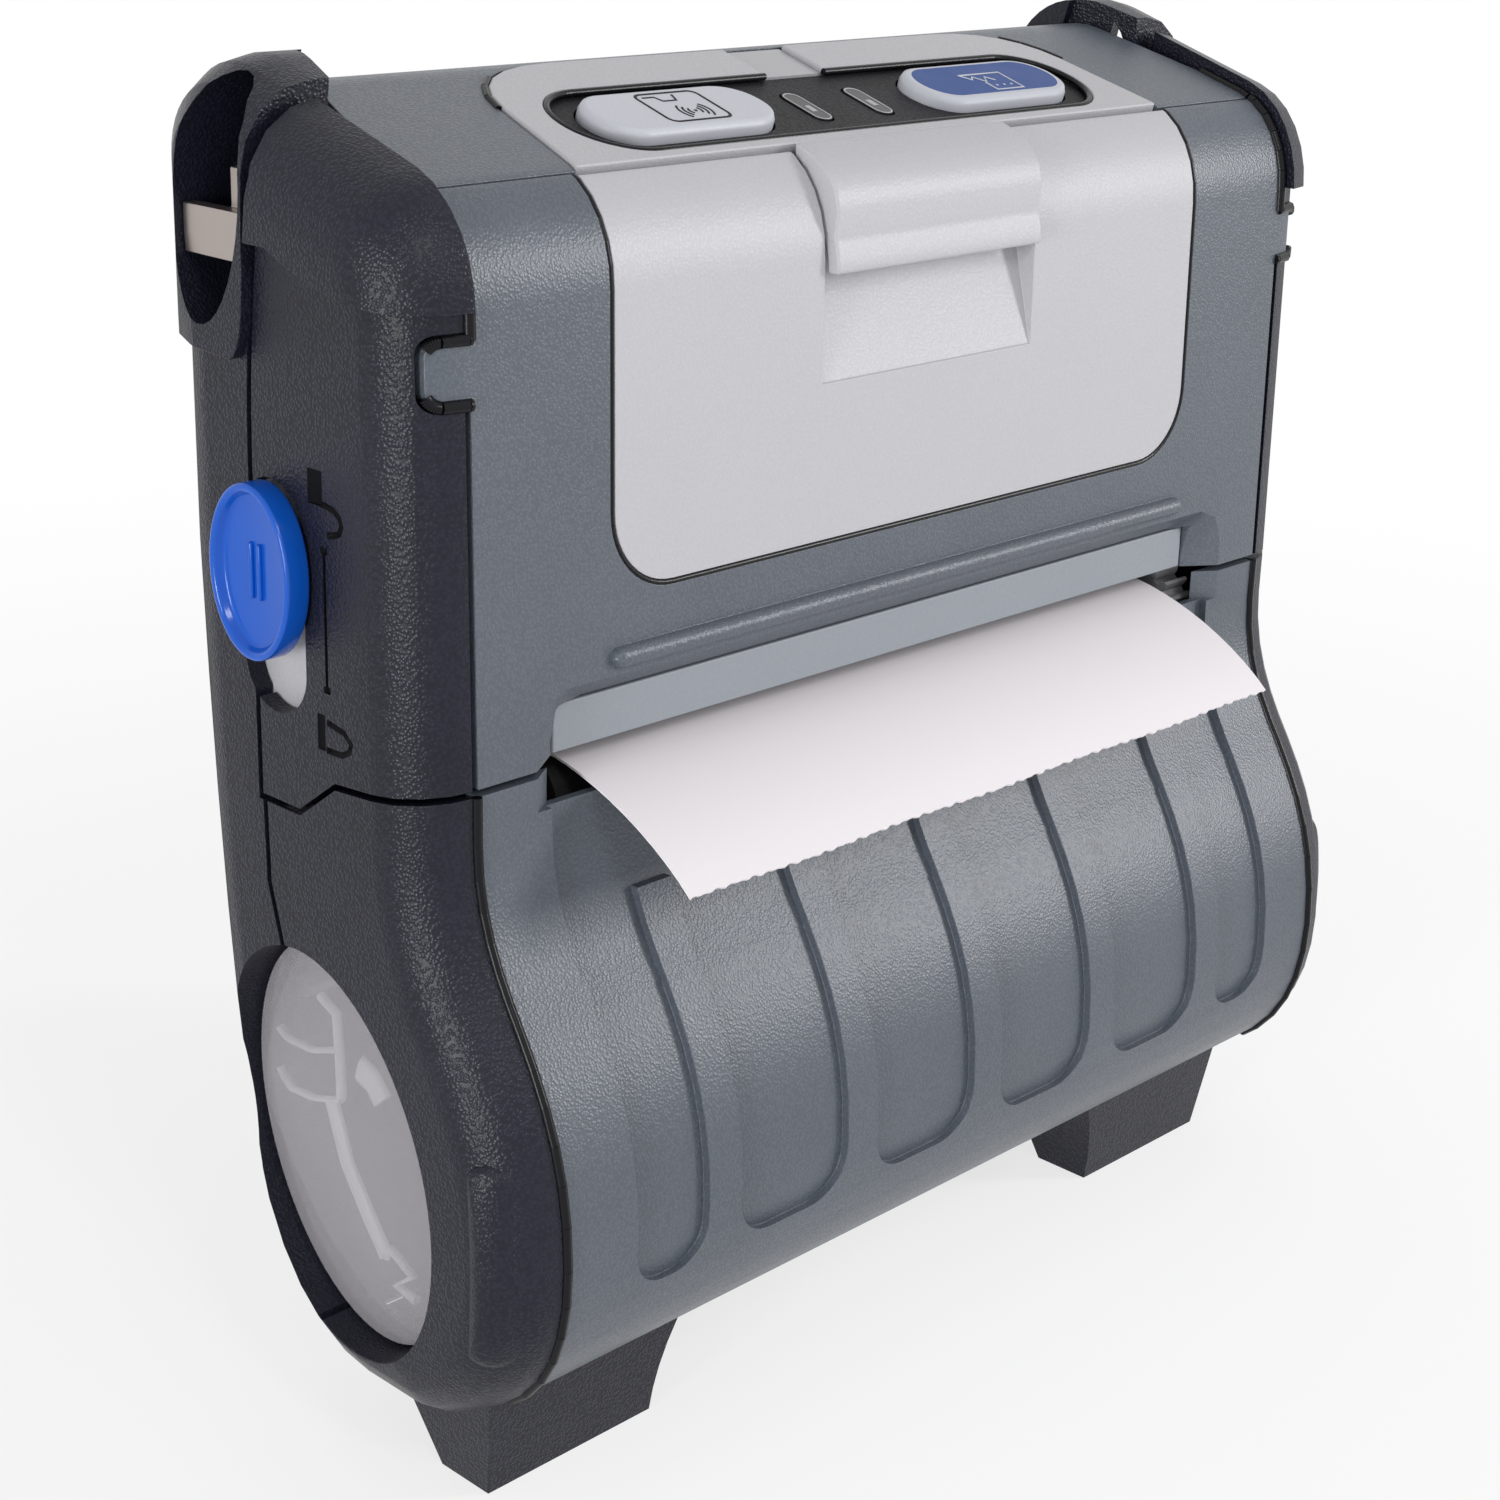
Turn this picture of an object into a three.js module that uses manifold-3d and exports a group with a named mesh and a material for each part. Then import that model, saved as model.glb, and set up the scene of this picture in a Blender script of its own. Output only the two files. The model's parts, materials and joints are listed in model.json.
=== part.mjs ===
// Portable barcode printer: an upright case with a clamshell media cover, built from separate covers,
// shafts, gears and buttons. Millimetres, X to the right, Y to the back, Z up.
// The model stands on its feet at z = 0 with the middle of its outline over the origin.
import * as THREE from 'three';
import { mergeVertices } from 'three/addons/utils/BufferGeometryUtils.js';
import { ConvexGeometry } from 'three/addons/geometries/ConvexGeometry.js';
import Module from 'manifold-3d';

const wasm = await Module();
wasm.setup();

// Case, drawn with y = 0 on the upright front and z = 0 under the feet
const HALF_FACE = 73.3;
const EDGE_ROUND = 8;
const WALL = 2.2;
const SEAM = 0.8;
const FIT = 0.3;
const OVERRUN = 6;
const MERGE = 1e-4;
const JOINT_Z = 90.6;
const BASE_Z = 12.2;
const BASE_FRONT_Y = 4.8;
const BASE_BACK_Y = 14;
const BULGE = 15;
const BULGE_Z = 38;
const FACE_LEAN = 0.9;
const FACE_TOP_Z = 143;
const TOP_FRONT_Y = 7.3;
const NOSE_RISE = 12;
const TOP_FRONT_Z = FACE_TOP_Z + NOSE_RISE;
const TOP_BACK_Y = 31;
const PANEL_RISE = 7.5;
const TOP_BACK_Z = TOP_FRONT_Z + PANEL_RISE;
const PLATE_BACK_Y = 35.2;
const PLATE_BACK_INSET = 5.3;
const PLATE_BACK_HALF = HALF_FACE - PLATE_BACK_INSET;
const BACK_Y = 44;
const BACK_LOW_Y = 37;
const BACK_LOW_Z = 36;
const BACK_STRAIGHT_Z = 112;

// Seam between the side covers and the rear housing, and the step of the joint line at the side
const SIDE_SEAM_Y = 28.2;
const SEAM_TOP_Y = 24.4;
const SEAM_BEND_Z = 124;
const LOW_SEAM_Y = 20.8;
const SIDE_JOINT_Z = 84.6;
const STEP_BACK_Y = 21;
const STEP_FRONT_Y = 14.5;
const STEP_TOP_Z = 89.4;
const SHELL_BOTTOM_Z = 17.1;

// Bumper pads on the upper corners
const PAD_PROUD = 1.8;
const PAD_LOW_Z = 143.3;
const PAD_BACK_Y = 22;
const PAD_BACK_Z = 147.8;
const TAB_LOW_Z = 133.6;
const TAB_HIGH_Z = 140.2;
const TAB_ROUND = 1.6;
const TAB_PROUD = 4.5;
const TAB_REACH = HALF_FACE + TAB_PROUD;

// Strap loops on the rear top corners
const LOOP_PROUD = 1.4;
const LOOP_RISE = 1.8;
const LOOP_INSET = 5.8;
const LOOP_INNER_X = HALF_FACE - LOOP_INSET;
const LOOP_LOW_Z = 134.7;
const LOOP_LOW_Y = 36;
const POCKET_Y = 33.4;
const POCKET_Z = 151.3;
const POCKET_HALF_Y = 6.3;
const POCKET_HALF_Z = 13.6;
const POCKET_LEAN = THREE.MathUtils.degToRad(8);
const POCKET_DEPTH = 11;
const STRAP_BAR_HEIGHT = 5.4;
const STRAP_BAR_THICK = 2;
const STRAP_BAR_INSET = 0.4;
const STRAP_BAR_DROP = 3.7;

// Battery door, its pull tab and the finger scoop
const DOOR_INSET = 20.7;
const DOOR_HALF = HALF_FACE - DOOR_INSET;
const DOOR_LOW_Z = 109.4;
const DOOR_ROUND = 9;
const DOOR_CLEAR = 0.6;
const PULL_HALF = 19.3;
const PULL_LOW_Z = 141.2;
const PULL_PROUD = 0.6;
const PULL_FLARE = 1.6;
const PULL_THICK = 1.8;
const SCOOP_LOW_Z = 128.4;
const SCOOP_DEEP = 3.6;

// Paper mouth with the raised bar above it
const BAR_INSET = 19.9;
const BAR_HALF = HALF_FACE - BAR_INSET;
const BAR_Z = 101.8;
const BAR_RADIUS = 1.25;
const MOUTH_INSET = 8.9;
const MOUTH_HALF_OUT = HALF_FACE - MOUTH_INSET;
const MOUTH_SLOPE = 4.8;
const MOUTH_HALF_IN = MOUTH_HALF_OUT - MOUTH_SLOPE;
const MOUTH_TOP_OUT_Z = 99.8;
const MOUTH_TOP_IN_Z = 97.2;
const MOUTH_CORNER = 4.5;
const MOUTH_DEPTH = 3.2;
const HOOD_DEPTH = 6.2;
const HOOD_TOP_Z = 104;

// Grip flutes of the media cover
const FLUTE_DEEP = 1.1;
const FLUTE_FIELD_INSET = 11.1;
const FLUTE_FIELD_HALF = HALF_FACE - FLUTE_FIELD_INSET;
const FLUTE_PITCH = 24;
const RIB_WIDTH = 5.4;
const RIB_TOP_Z = 74;
const FLUTE_LOW_Z = 30.5;
const FLUTE_ROUND = 6;
const EAR_DROP = 4.4;
const SHELL_LIP_INSET = 13.3;
const SHELL_LIP_HALF = HALF_FACE - SHELL_LIP_INSET;

// Side windows: a leaning oval
const WINDOW_Y = 18;
const WINDOW_Z = 42.5;
const WINDOW_LONG = 25.5;
const WINDOW_SHORT = 18;
const WINDOW_LEAN = THREE.MathUtils.degToRad(-20);
const LENS_THICK = 1.5;
const LENS_DEPTH = 4.5;
const LENS_CLEAR = 0.5;

// Feet
const FOOT_INSET = 2;
const FOOT_OUT = HALF_FACE - FOOT_INSET;
const FOOT_WIDE = 26.7;
const FOOT_IN = FOOT_OUT - FOOT_WIDE;
const FOOT_FRONT_Y = 1;
const FOOT_DEPTH = 8.6;
const FOOT_FLARE = 6.5;
const HEEL_CLEAR = 2.6;
const HEEL_OUT = FOOT_IN - HEEL_CLEAR;
const HEEL_WIDE = 18;
const HEEL_IN = HEEL_OUT - HEEL_WIDE;
const HEEL_FRONT_Y = 24;
const HEEL_DEPTH = 8.5;

// Hinge of the media cover
const HINGE_Y = 21;
const HINGE_Z = 14.3;
const HINGE_PIN_R = 1;
const HINGE_LUG_R = 2.1;
const HINGE_LUG_INSET = 13.3;
const HINGE_LUG_X = HALF_FACE - HINGE_LUG_INSET;
const HINGE_LUG_WIDE = 4.6;
const HINGE_BLOCK = 4.2;

// Sloping control panel
const PANEL_TILT = Math.atan2(TOP_BACK_Z - TOP_FRONT_Z, TOP_BACK_Y - TOP_FRONT_Y);
const BEZEL_HALF = DOOR_HALF - DOOR_CLEAR;
const BEZEL_TAPER = 2.2;
const BEZEL_BACK_INSET = 2.86;
const BEZEL_DEPTH = (PLATE_BACK_Y - TOP_FRONT_Y) / Math.cos(PANEL_TILT) - BEZEL_BACK_INSET;
const BEZEL_ROUND = 10.4;
const BEZEL_PROUD = 0.3;
const KEYPAD_INSET = 6.6;
const KEYPAD_HALF = BEZEL_HALF - KEYPAD_INSET;
const KEYPAD_DEPTH = 16.2;
const KEYPAD_V = 10.6;
const KEYPAD_THICK = 1.4;
const KEYPAD_DROP = 0.6;
const BUTTON_INSET = 3.9;
const LAMP_ZONE_HALF = 13.5;
const BUTTON_HALF = (KEYPAD_HALF - BUTTON_INSET - LAMP_ZONE_HALF) / 2;
const BUTTON_X = LAMP_ZONE_HALF + BUTTON_HALF;
const BUTTON_DEPTH = 10.6;
const BUTTON_PROUD = 1.1;
const BUTTON_TALL = 3;
const LED_INSET = 8;
const LED_X = LAMP_ZONE_HALF - LED_INSET;
const LED_LONG = 7.8;
const LED_WIDE = 2.8;
const IR_HALF = 5;
const IR_GAP = 0.1;
const IR_LONG = BEZEL_DEPTH - KEYPAD_V - KEYPAD_DEPTH / 2 - IR_GAP;
const BUTTON_BOARD_THICK = 1;
const BUTTON_BOARD_DROP = 4.2;

// Latch on the left side
const SLOT_Y = 24.6;
const SLOT_WIDE = 11;
const SLOT_LOW_Z = 95.6;
const SLOT_HIGH_Z = 122.4;
const LATCH_TRAVEL = 7;
const LATCH_Y = SLOT_Y;
const LATCH_Z = 112.3;
const LATCH_WIDE = 14.4;
const LATCH_HIGH = 20;
const LATCH_THICK = 3.5;
const LATCH_NECK_WIDE = 7;
const LATCH_NECK_HIGH = 11;
const SLIDER_THICK = 1.6;
const SLIDER_WIDE = 14;
const SLIDER_LOW_Z = 93;
const SLIDER_HIGH_Z = 124.5;
const FINGER_LOW_Z = 82.5;
const FINGER_WIDE = 3.2;
const FINGER_Y = 25.2;
const LATCH_SPRING_R = 1.5;
const LATCH_SPRING_LONG = 9;

// Platen, print head and gear train
const PLATEN_Y = 11.5;
const PLATEN_Z = 82.8;
const PLATEN_R = 6;
const BRACKET_INSET = 15.8;
const BRACKET_X = HALF_FACE - BRACKET_INSET;
const PLATEN_CLEAR = 1;
const PLATEN_HALF = BRACKET_X - PLATEN_CLEAR;
const SHAFT_R = 2;
const BUSH_R = 3.6;
const BRACKET_THICK = 2;
const BRACKET_R = 5.2;
const BEAM_LOW_Z = 66.5;
const BEAM_HIGH = 4;
const BEAM_DEEP = 10;
const GEAR_OFFSET = 2.7;
const GEAR_X = BRACKET_X + GEAR_OFFSET;
const GEAR_WIDE = 5;
const GEAR_MODULE = 0.7;
const PLATEN_TEETH = 20;
const IDLER_TEETH = 22;
const PINION_TEETH = 12;
const IDLER_ANGLE = THREE.MathUtils.degToRad(-5);
const PINION_ANGLE = THREE.MathUtils.degToRad(68);
const GEAR_SHAFT_R = 1.5;
const PRESSURE_ANGLE = THREE.MathUtils.degToRad(20);
const MOTOR_R = 6.8;
const MOTOR_LONG = 21;
const MOTOR_SHAFT_R = 1.1;
const GEAR_PLATE_THICK = 1.5;
const GEAR_PLATE_TOP_Z = 112;
const GEAR_PLATE_EDGE = 2.2;
const HEAD_HALF = PLATEN_HALF + FIT;
const HEAD_FRONT_Y = 8.8;
const HEAD_DEEP = 14.6;
const HEAD_THICK = 1.6;
const HEAD_GAP = 0.9;
const SINK_HIGH = 5;
const SINK_INSET = 2;
const HEAD_SPRING_R = 2.6;
const HEAD_SPRING_X = 32;
const TEAR_THICK = 1.2;
const TEAR_HIGH = 5.8;
const TEAR_HALF = MOUTH_HALF_IN - FIT;
const PAPER_INSET = 1;
const PAPER_HALF = PLATEN_HALF - PAPER_INSET;
const PAPER_THICK = 0.3;

// Inner frame, boards and battery
const FRAME_INSET = 16.1;
const FRAME_HALF = HALF_FACE - FRAME_INSET;
const FRAME_Y = 25.4;
const FRAME_THICK = 2;
const FRAME_LOW_Z = 104;
const FRAME_HIGH_Z = 149;
const SHELF_INSET = 7.2;
const SHELF_HALF = FRAME_HALF - SHELF_INSET;
const SHELF_Z = 110;
const SHELF_FRONT_Y = 4.2;
const LEDGE_FRONT_Y = 9.5;
const BATTERY_INSET = 4;
const BATTERY_HALF = SHELF_HALF - BATTERY_INSET;
const BATTERY_FRONT_Y = 8;
const BATTERY_HIGH = 36;
const BATTERY_ROUND = 3;
const BOARD_INSET = 1.5;
const BOARD_HALF = BATTERY_HALF - BOARD_INSET;
const BOARD_LOW_Z = 107;
const BOARD_HIGH = 40;
const BOARD_THICK = 1.6;
const SCREW_X = SHELF_HALF;
const SCREW_LOW_Z = 115;
const SCREW_HIGH_Z = 144;
const SCREW_R = 1.2;
const SCREW_HEAD_R = 2.7;
const SCREW_HEAD_TALL = 1.4;
const BOSS_R = 3.4;

// Media roll and its arms
const ROLL_Y = 13;
const ROLL_Z = 43;
const ROLL_R = 21;
const CORE_R = 10.4;
const CORE_WALL = 1;
const ARM_THICK = 1.7;
const ARM_HUB_R = 11;
const ARM_BOSS_LONG = 7;
const ARM_WIDE = 3.6;
const ROD_Y = 33.8;
const ROD_Z = 56;
const ROD_R = 1.4;
const ROD_INSET = 1.1;
const ROD_HALF = HALF_FACE - ROD_INSET;
const SLEEVE_R = 2.9;
const SLEEVE_LONG = 4.2;
const ROD_SEAT = 2;
const ROD_SEAT_INSET = 1.8;
const ROD_SEAT_X = ROD_HALF - ROD_SEAT_INSET;
const ROD_SEAT_HALF = 3.2;

// How finely the round forms are cut
const CURVE_STEPS = 6;
const ROUND_STEPS = 4;
const RING_STEPS = 28;
const SMALL_STEPS = 16;

// Solids from three.js geometry
function solid(geometry) {
  const bare = geometry.clone();
  bare.deleteAttribute('normal');
  bare.deleteAttribute('uv');
  const merged = mergeVertices(bare, MERGE);
  return new wasm.Manifold(new wasm.Mesh({
    numProp: 3,
    vertProperties: new Float32Array(merged.attributes.position.array),
    triVerts: new Uint32Array(merged.index.array),
  }));
}

function join(...solids) {
  return solids.reduce((all, next) => all.add(next));
}

function cut(body, ...tools) {
  return tools.reduce((left, tool) => left.subtract(tool), body);
}

function meshOf(name, body, { color, roughness = 0.6, metalness = 0, opacity = 1 }) {
  const source = body.getMesh();
  const geometry = new THREE.BufferGeometry();
  geometry.setAttribute('position', new THREE.BufferAttribute(new Float32Array(source.vertProperties), 3));
  geometry.setIndex(new THREE.BufferAttribute(new Uint32Array(source.triVerts), 1));
  geometry.computeVertexNormals();
  const material = new THREE.MeshStandardMaterial({
    color, roughness, metalness, opacity, transparent: opacity < 1,
  });
  const mesh = new THREE.Mesh(geometry, material);
  mesh.name = name;
  return mesh;
}

function polygon(points) {
  return new THREE.Shape(points.map(([u, v]) => new THREE.Vector2(u, v)));
}

// A shape drawn in (y, z) and run along X between two places
function acrossX(shape, x0, x1, steps = CURVE_STEPS) {
  const low = Math.min(x0, x1);
  const geometry = new THREE.ExtrudeGeometry(shape, {
    depth: Math.abs(x1 - x0), bevelEnabled: false, curveSegments: steps,
  });
  const axes = new THREE.Matrix4().makeBasis(
    new THREE.Vector3(0, 1, 0), new THREE.Vector3(0, 0, 1), new THREE.Vector3(1, 0, 0));
  geometry.applyMatrix4(axes).translate(low, 0, 0);
  return solid(geometry);
}

// A shape drawn in (x, z) and run along Y between two places
function acrossY(shape, y0, y1, steps = CURVE_STEPS) {
  const geometry = new THREE.ExtrudeGeometry(shape, {
    depth: Math.abs(y1 - y0), bevelEnabled: false, curveSegments: steps,
  });
  geometry.rotateX(Math.PI / 2).translate(0, Math.max(y0, y1), 0);
  return solid(geometry);
}

// A shape drawn on the sloping panel, x across and v up the slope, run along its normal
function onPanel(shape, n0, n1, steps = CURVE_STEPS) {
  const geometry = new THREE.ExtrudeGeometry(shape, {
    depth: n1 - n0, bevelEnabled: false, curveSegments: steps,
  });
  geometry.translate(0, 0, n0).rotateX(PANEL_TILT).translate(0, TOP_FRONT_Y, TOP_FRONT_Z);
  return solid(geometry);
}

function block(x0, x1, y0, y1, z0, z1) {
  const geometry = new THREE.BoxGeometry(Math.abs(x1 - x0), Math.abs(y1 - y0), Math.abs(z1 - z0));
  geometry.translate((x0 + x1) / 2, (y0 + y1) / 2, (z0 + z1) / 2);
  return solid(geometry);
}

function rodX(radius, x0, x1, y, z, steps = RING_STEPS) {
  const geometry = new THREE.CylinderGeometry(radius, radius, Math.abs(x1 - x0), steps);
  geometry.rotateZ(Math.PI / 2).translate((x0 + x1) / 2, y, z);
  return solid(geometry);
}

function rodY(radius, y0, y1, x, z, steps = SMALL_STEPS) {
  const geometry = new THREE.CylinderGeometry(radius, radius, Math.abs(y1 - y0), steps);
  geometry.translate(x, (y0 + y1) / 2, z);
  return solid(geometry);
}

function rodZ(radius, z0, z1, x, y, steps = SMALL_STEPS) {
  const geometry = new THREE.CylinderGeometry(radius, radius, Math.abs(z1 - z0), steps);
  geometry.rotateX(Math.PI / 2).translate(x, y, (z0 + z1) / 2);
  return solid(geometry);
}

function ringX(outer, inner, x0, x1, y, z, steps = RING_STEPS) {
  return cut(rodX(outer, x0, x1, y, z, steps), rodX(inner, x0 - OVERRUN, x1 + OVERRUN, y, z, steps));
}

// A rectangle with round corners about a centre
function roundedBox(u, v, wide, high, radius) {
  const shape = new THREE.Shape();
  const a = wide / 2 - radius;
  const b = high / 2 - radius;
  shape.absarc(u + a, v - b, radius, -Math.PI / 2, 0);
  shape.absarc(u + a, v + b, radius, 0, Math.PI / 2);
  shape.absarc(u - a, v + b, radius, Math.PI / 2, Math.PI);
  shape.absarc(u - a, v - b, radius, Math.PI, 1.5 * Math.PI);
  shape.closePath();
  return shape;
}

function oval(u, v, halfU, halfV, lean = 0) {
  const shape = new THREE.Shape();
  shape.absellipse(u, v, halfU, halfV, 0, 2 * Math.PI, false, lean);
  return shape;
}

// One bend drawn as its two halves, so that it gets twice the steps
function bendInHalves(shape, start, pullA, pullB, end) {
  const mid = (p, q) => [(p[0] + q[0]) / 2, (p[1] + q[1]) / 2];
  const [a, b, c] = [mid(start, pullA), mid(pullA, pullB), mid(pullB, end)];
  const [ab, bc] = [mid(a, b), mid(b, c)];
  const top = mid(ab, bc);
  shape.bezierCurveTo(...a, ...ab, ...top);
  shape.bezierCurveTo(...bc, ...c, ...end);
}

// Outline of the case in side view
function caseOutline() {
  const bulgeStart = 0.933 * JOINT_Z;
  const slope = Math.tan(PANEL_TILT);
  const cornerZ = TOP_BACK_Z + slope * (BACK_Y - TOP_BACK_Y);
  const cornerReach = (BACK_Y - TOP_BACK_Y) / Math.cos(PANEL_TILT);
  const s = new THREE.Shape();
  s.moveTo(BASE_BACK_Y, BASE_Z);
  s.bezierCurveTo(0.65 * BACK_LOW_Y, BASE_Z, 0.92 * BACK_LOW_Y, 0.61 * BACK_LOW_Z, BACK_LOW_Y, BACK_LOW_Z);
  s.quadraticCurveTo(0.96 * BACK_Y, 0.55 * BACK_STRAIGHT_Z, BACK_Y, BACK_STRAIGHT_Z);
  s.lineTo(BACK_Y, cornerZ - cornerReach);
  bendInHalves(s, [BACK_Y, cornerZ - cornerReach], [BACK_Y, cornerZ - cornerReach / 2],
    [(BACK_Y + TOP_BACK_Y) / 2, (cornerZ + TOP_BACK_Z) / 2], [TOP_BACK_Y, TOP_BACK_Z]);
  s.lineTo(1.2 * TOP_FRONT_Y, TOP_FRONT_Z + slope * 0.2 * TOP_FRONT_Y);
  s.bezierCurveTo(0.52 * TOP_FRONT_Y, TOP_FRONT_Z - slope * 0.48 * TOP_FRONT_Y,
    FACE_LEAN, FACE_TOP_Z + 0.45 * (TOP_FRONT_Z - FACE_TOP_Z), FACE_LEAN, FACE_TOP_Z);
  s.lineTo(0, JOINT_Z);
  s.lineTo(0, bulgeStart);
  s.bezierCurveTo(0, 0.84 * JOINT_Z, -0.21 * BULGE, 0.776 * JOINT_Z, -0.47 * BULGE, 0.71 * JOINT_Z);
  s.bezierCurveTo(-0.77 * BULGE, 0.63 * JOINT_Z, -BULGE, 0.546 * JOINT_Z, -BULGE, BULGE_Z);
  s.bezierCurveTo(-BULGE, 0.75 * BULGE_Z, -0.8 * BULGE, 0.56 * BULGE_Z, -0.32 * BULGE, 0.43 * BULGE_Z);
  s.bezierCurveTo(-0.07 * BULGE, 0.37 * BULGE_Z, 0.4 * BASE_FRONT_Y, BASE_Z, BASE_FRONT_Y, BASE_Z);
  return s;
}

// The whole case with rounded ends, shrunk by an inset, or grown where the inset is negative
const hulls = new Map();
function hull(inset) {
  if (!hulls.has(inset)) {
    const geometry = new THREE.ExtrudeGeometry(caseOutline(), {
      depth: 2 * HALF_FACE,
      curveSegments: CURVE_STEPS,
      bevelEnabled: true,
      bevelThickness: EDGE_ROUND - inset,
      bevelSize: EDGE_ROUND - inset,
      bevelOffset: -EDGE_ROUND,
      bevelSegments: ROUND_STEPS,
    });
    const axes = new THREE.Matrix4().makeBasis(
      new THREE.Vector3(0, 1, 0), new THREE.Vector3(0, 0, 1), new THREE.Vector3(1, 0, 0));
    geometry.applyMatrix4(axes).translate(-HALF_FACE, 0, 0);
    hulls.set(inset, solid(geometry));
  }
  return hulls.get(inset);
}

function skin(outside = 0, inside = WALL) {
  return cut(hull(outside), hull(inside));
}

const SIDE = HALF_FACE + EDGE_ROUND;
const FAR = 2 * SIDE;
const FRONT = -2 * BULGE;
const REAR = 2 * BACK_Y;
const SKY = TOP_BACK_Z + EDGE_ROUND;
const HALF_SEAM = SEAM / 2;

// Side view regions of the covers; grow moves the edges apart to leave the seam
function seamCurve(shape, grow) {
  const drop = TOP_BACK_Z - SEAM_BEND_Z;
  const lean = SIDE_SEAM_Y - SEAM_TOP_Y;
  shape.lineTo(SIDE_SEAM_Y + grow, SEAM_BEND_Z);
  shape.bezierCurveTo(SIDE_SEAM_Y + grow, SEAM_BEND_Z + 0.3 * drop, SEAM_TOP_Y + 0.5 * lean + grow,
    SEAM_BEND_Z + 0.6 * drop, SEAM_TOP_Y + 0.25 * lean + grow, SEAM_BEND_Z + 0.8 * drop);
  shape.lineTo(SEAM_TOP_Y + grow, 1.1 * SKY);
}

function upperSideRegion(grow) {
  const s = new THREE.Shape();
  s.moveTo(FRONT, JOINT_Z - grow);
  s.lineTo(0, JOINT_Z - grow);
  s.lineTo(STEP_FRONT_Y, STEP_TOP_Z - grow);
  s.lineTo(STEP_BACK_Y, SIDE_JOINT_Z - grow);
  s.lineTo(SIDE_SEAM_Y + grow, SIDE_JOINT_Z - grow);
  seamCurve(s, grow);
  s.lineTo(FRONT, 1.1 * SKY);
  return s;
}

function lowerSideRegion(grow) {
  const s = new THREE.Shape();
  s.moveTo(FRONT, JOINT_Z + grow);
  s.lineTo(0, JOINT_Z + grow);
  s.lineTo(STEP_FRONT_Y, STEP_TOP_Z + grow);
  s.lineTo(STEP_BACK_Y, SIDE_JOINT_Z + grow);
  s.lineTo(0.975 * SIDE_SEAM_Y + grow, SIDE_JOINT_Z + grow);
  s.lineTo(0.965 * SIDE_SEAM_Y + grow, 0.82 * JOINT_Z);
  s.lineTo(0.885 * SIDE_SEAM_Y + grow, 0.735 * JOINT_Z);
  s.lineTo(LOW_SEAM_Y + grow, 0.22 * JOINT_Z);
  s.lineTo(LOW_SEAM_Y + grow, -OVERRUN);
  s.lineTo(FRONT, -OVERRUN);
  return s;
}

function windowOval(grow) {
  return oval(WINDOW_Y, WINDOW_Z, WINDOW_SHORT + grow, WINDOW_LONG + grow, WINDOW_LEAN);
}

const WINDOW_STEPS = 40;

function latchSlot(grow) {
  return roundedBox(SLOT_Y, (SLOT_LOW_Z + SLOT_HIGH_Z) / 2, SLOT_WIDE + 2 * grow,
    SLOT_HIGH_Z - SLOT_LOW_Z + 2 * grow, SLOT_WIDE / 2 + grow);
}

const plastic = { dark: { color: 0x3e3e46 }, grey: { color: 0x697076 }, light: { color: 0xc8c8cd } };
const metal = {
  steel: { color: 0xb4b4b8, roughness: 0.35, metalness: 1 },
  nickel: { color: 0xbeb6b0, roughness: 0.3, metalness: 1 },
  aluminium: { color: 0xa9acb0, roughness: 0.45, metalness: 1 },
};

// Rear housing with heels, window seats, strap loops, screw bosses and hinge lugs
const rodSeatBack = ROD_Y + 2 * SLEEVE_R;

function loopRegion() {
  const s = new THREE.Shape();
  const frontY = (SIDE_SEAM_Y + SEAM_TOP_Y) / 2 + HALF_SEAM;
  s.moveTo(LOOP_LOW_Y - POCKET_HALF_Y, LOOP_LOW_Z);
  s.bezierCurveTo(BACK_Y, LOOP_LOW_Z, BACK_Y + 2 * LOOP_PROUD, LOOP_LOW_Z + 2 * WALL,
    BACK_Y + 2 * LOOP_PROUD, LOOP_LOW_Z + 6 * WALL);
  s.lineTo(BACK_Y + 2 * LOOP_PROUD, 1.1 * SKY);
  s.lineTo(SEAM_TOP_Y + HALF_SEAM, 1.1 * SKY);
  s.lineTo(frontY, PAD_BACK_Z);
  s.quadraticCurveTo(frontY, LOOP_LOW_Z, LOOP_LOW_Y - POCKET_HALF_Y, LOOP_LOW_Z);
  return s;
}

function heel() {
  const side = polygon([
    [HEEL_FRONT_Y, 0], [HEEL_FRONT_Y + HEEL_DEPTH, 0],
    [HEEL_FRONT_Y + 1.4 * HEEL_DEPTH, 2.6 * BASE_Z], [HEEL_FRONT_Y, 1.4 * BASE_Z],
  ]);
  return cut(join(acrossX(side, -HEEL_OUT, -HEEL_IN), acrossX(side, HEEL_IN, HEEL_OUT)), hull(WALL / 2));
}

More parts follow.
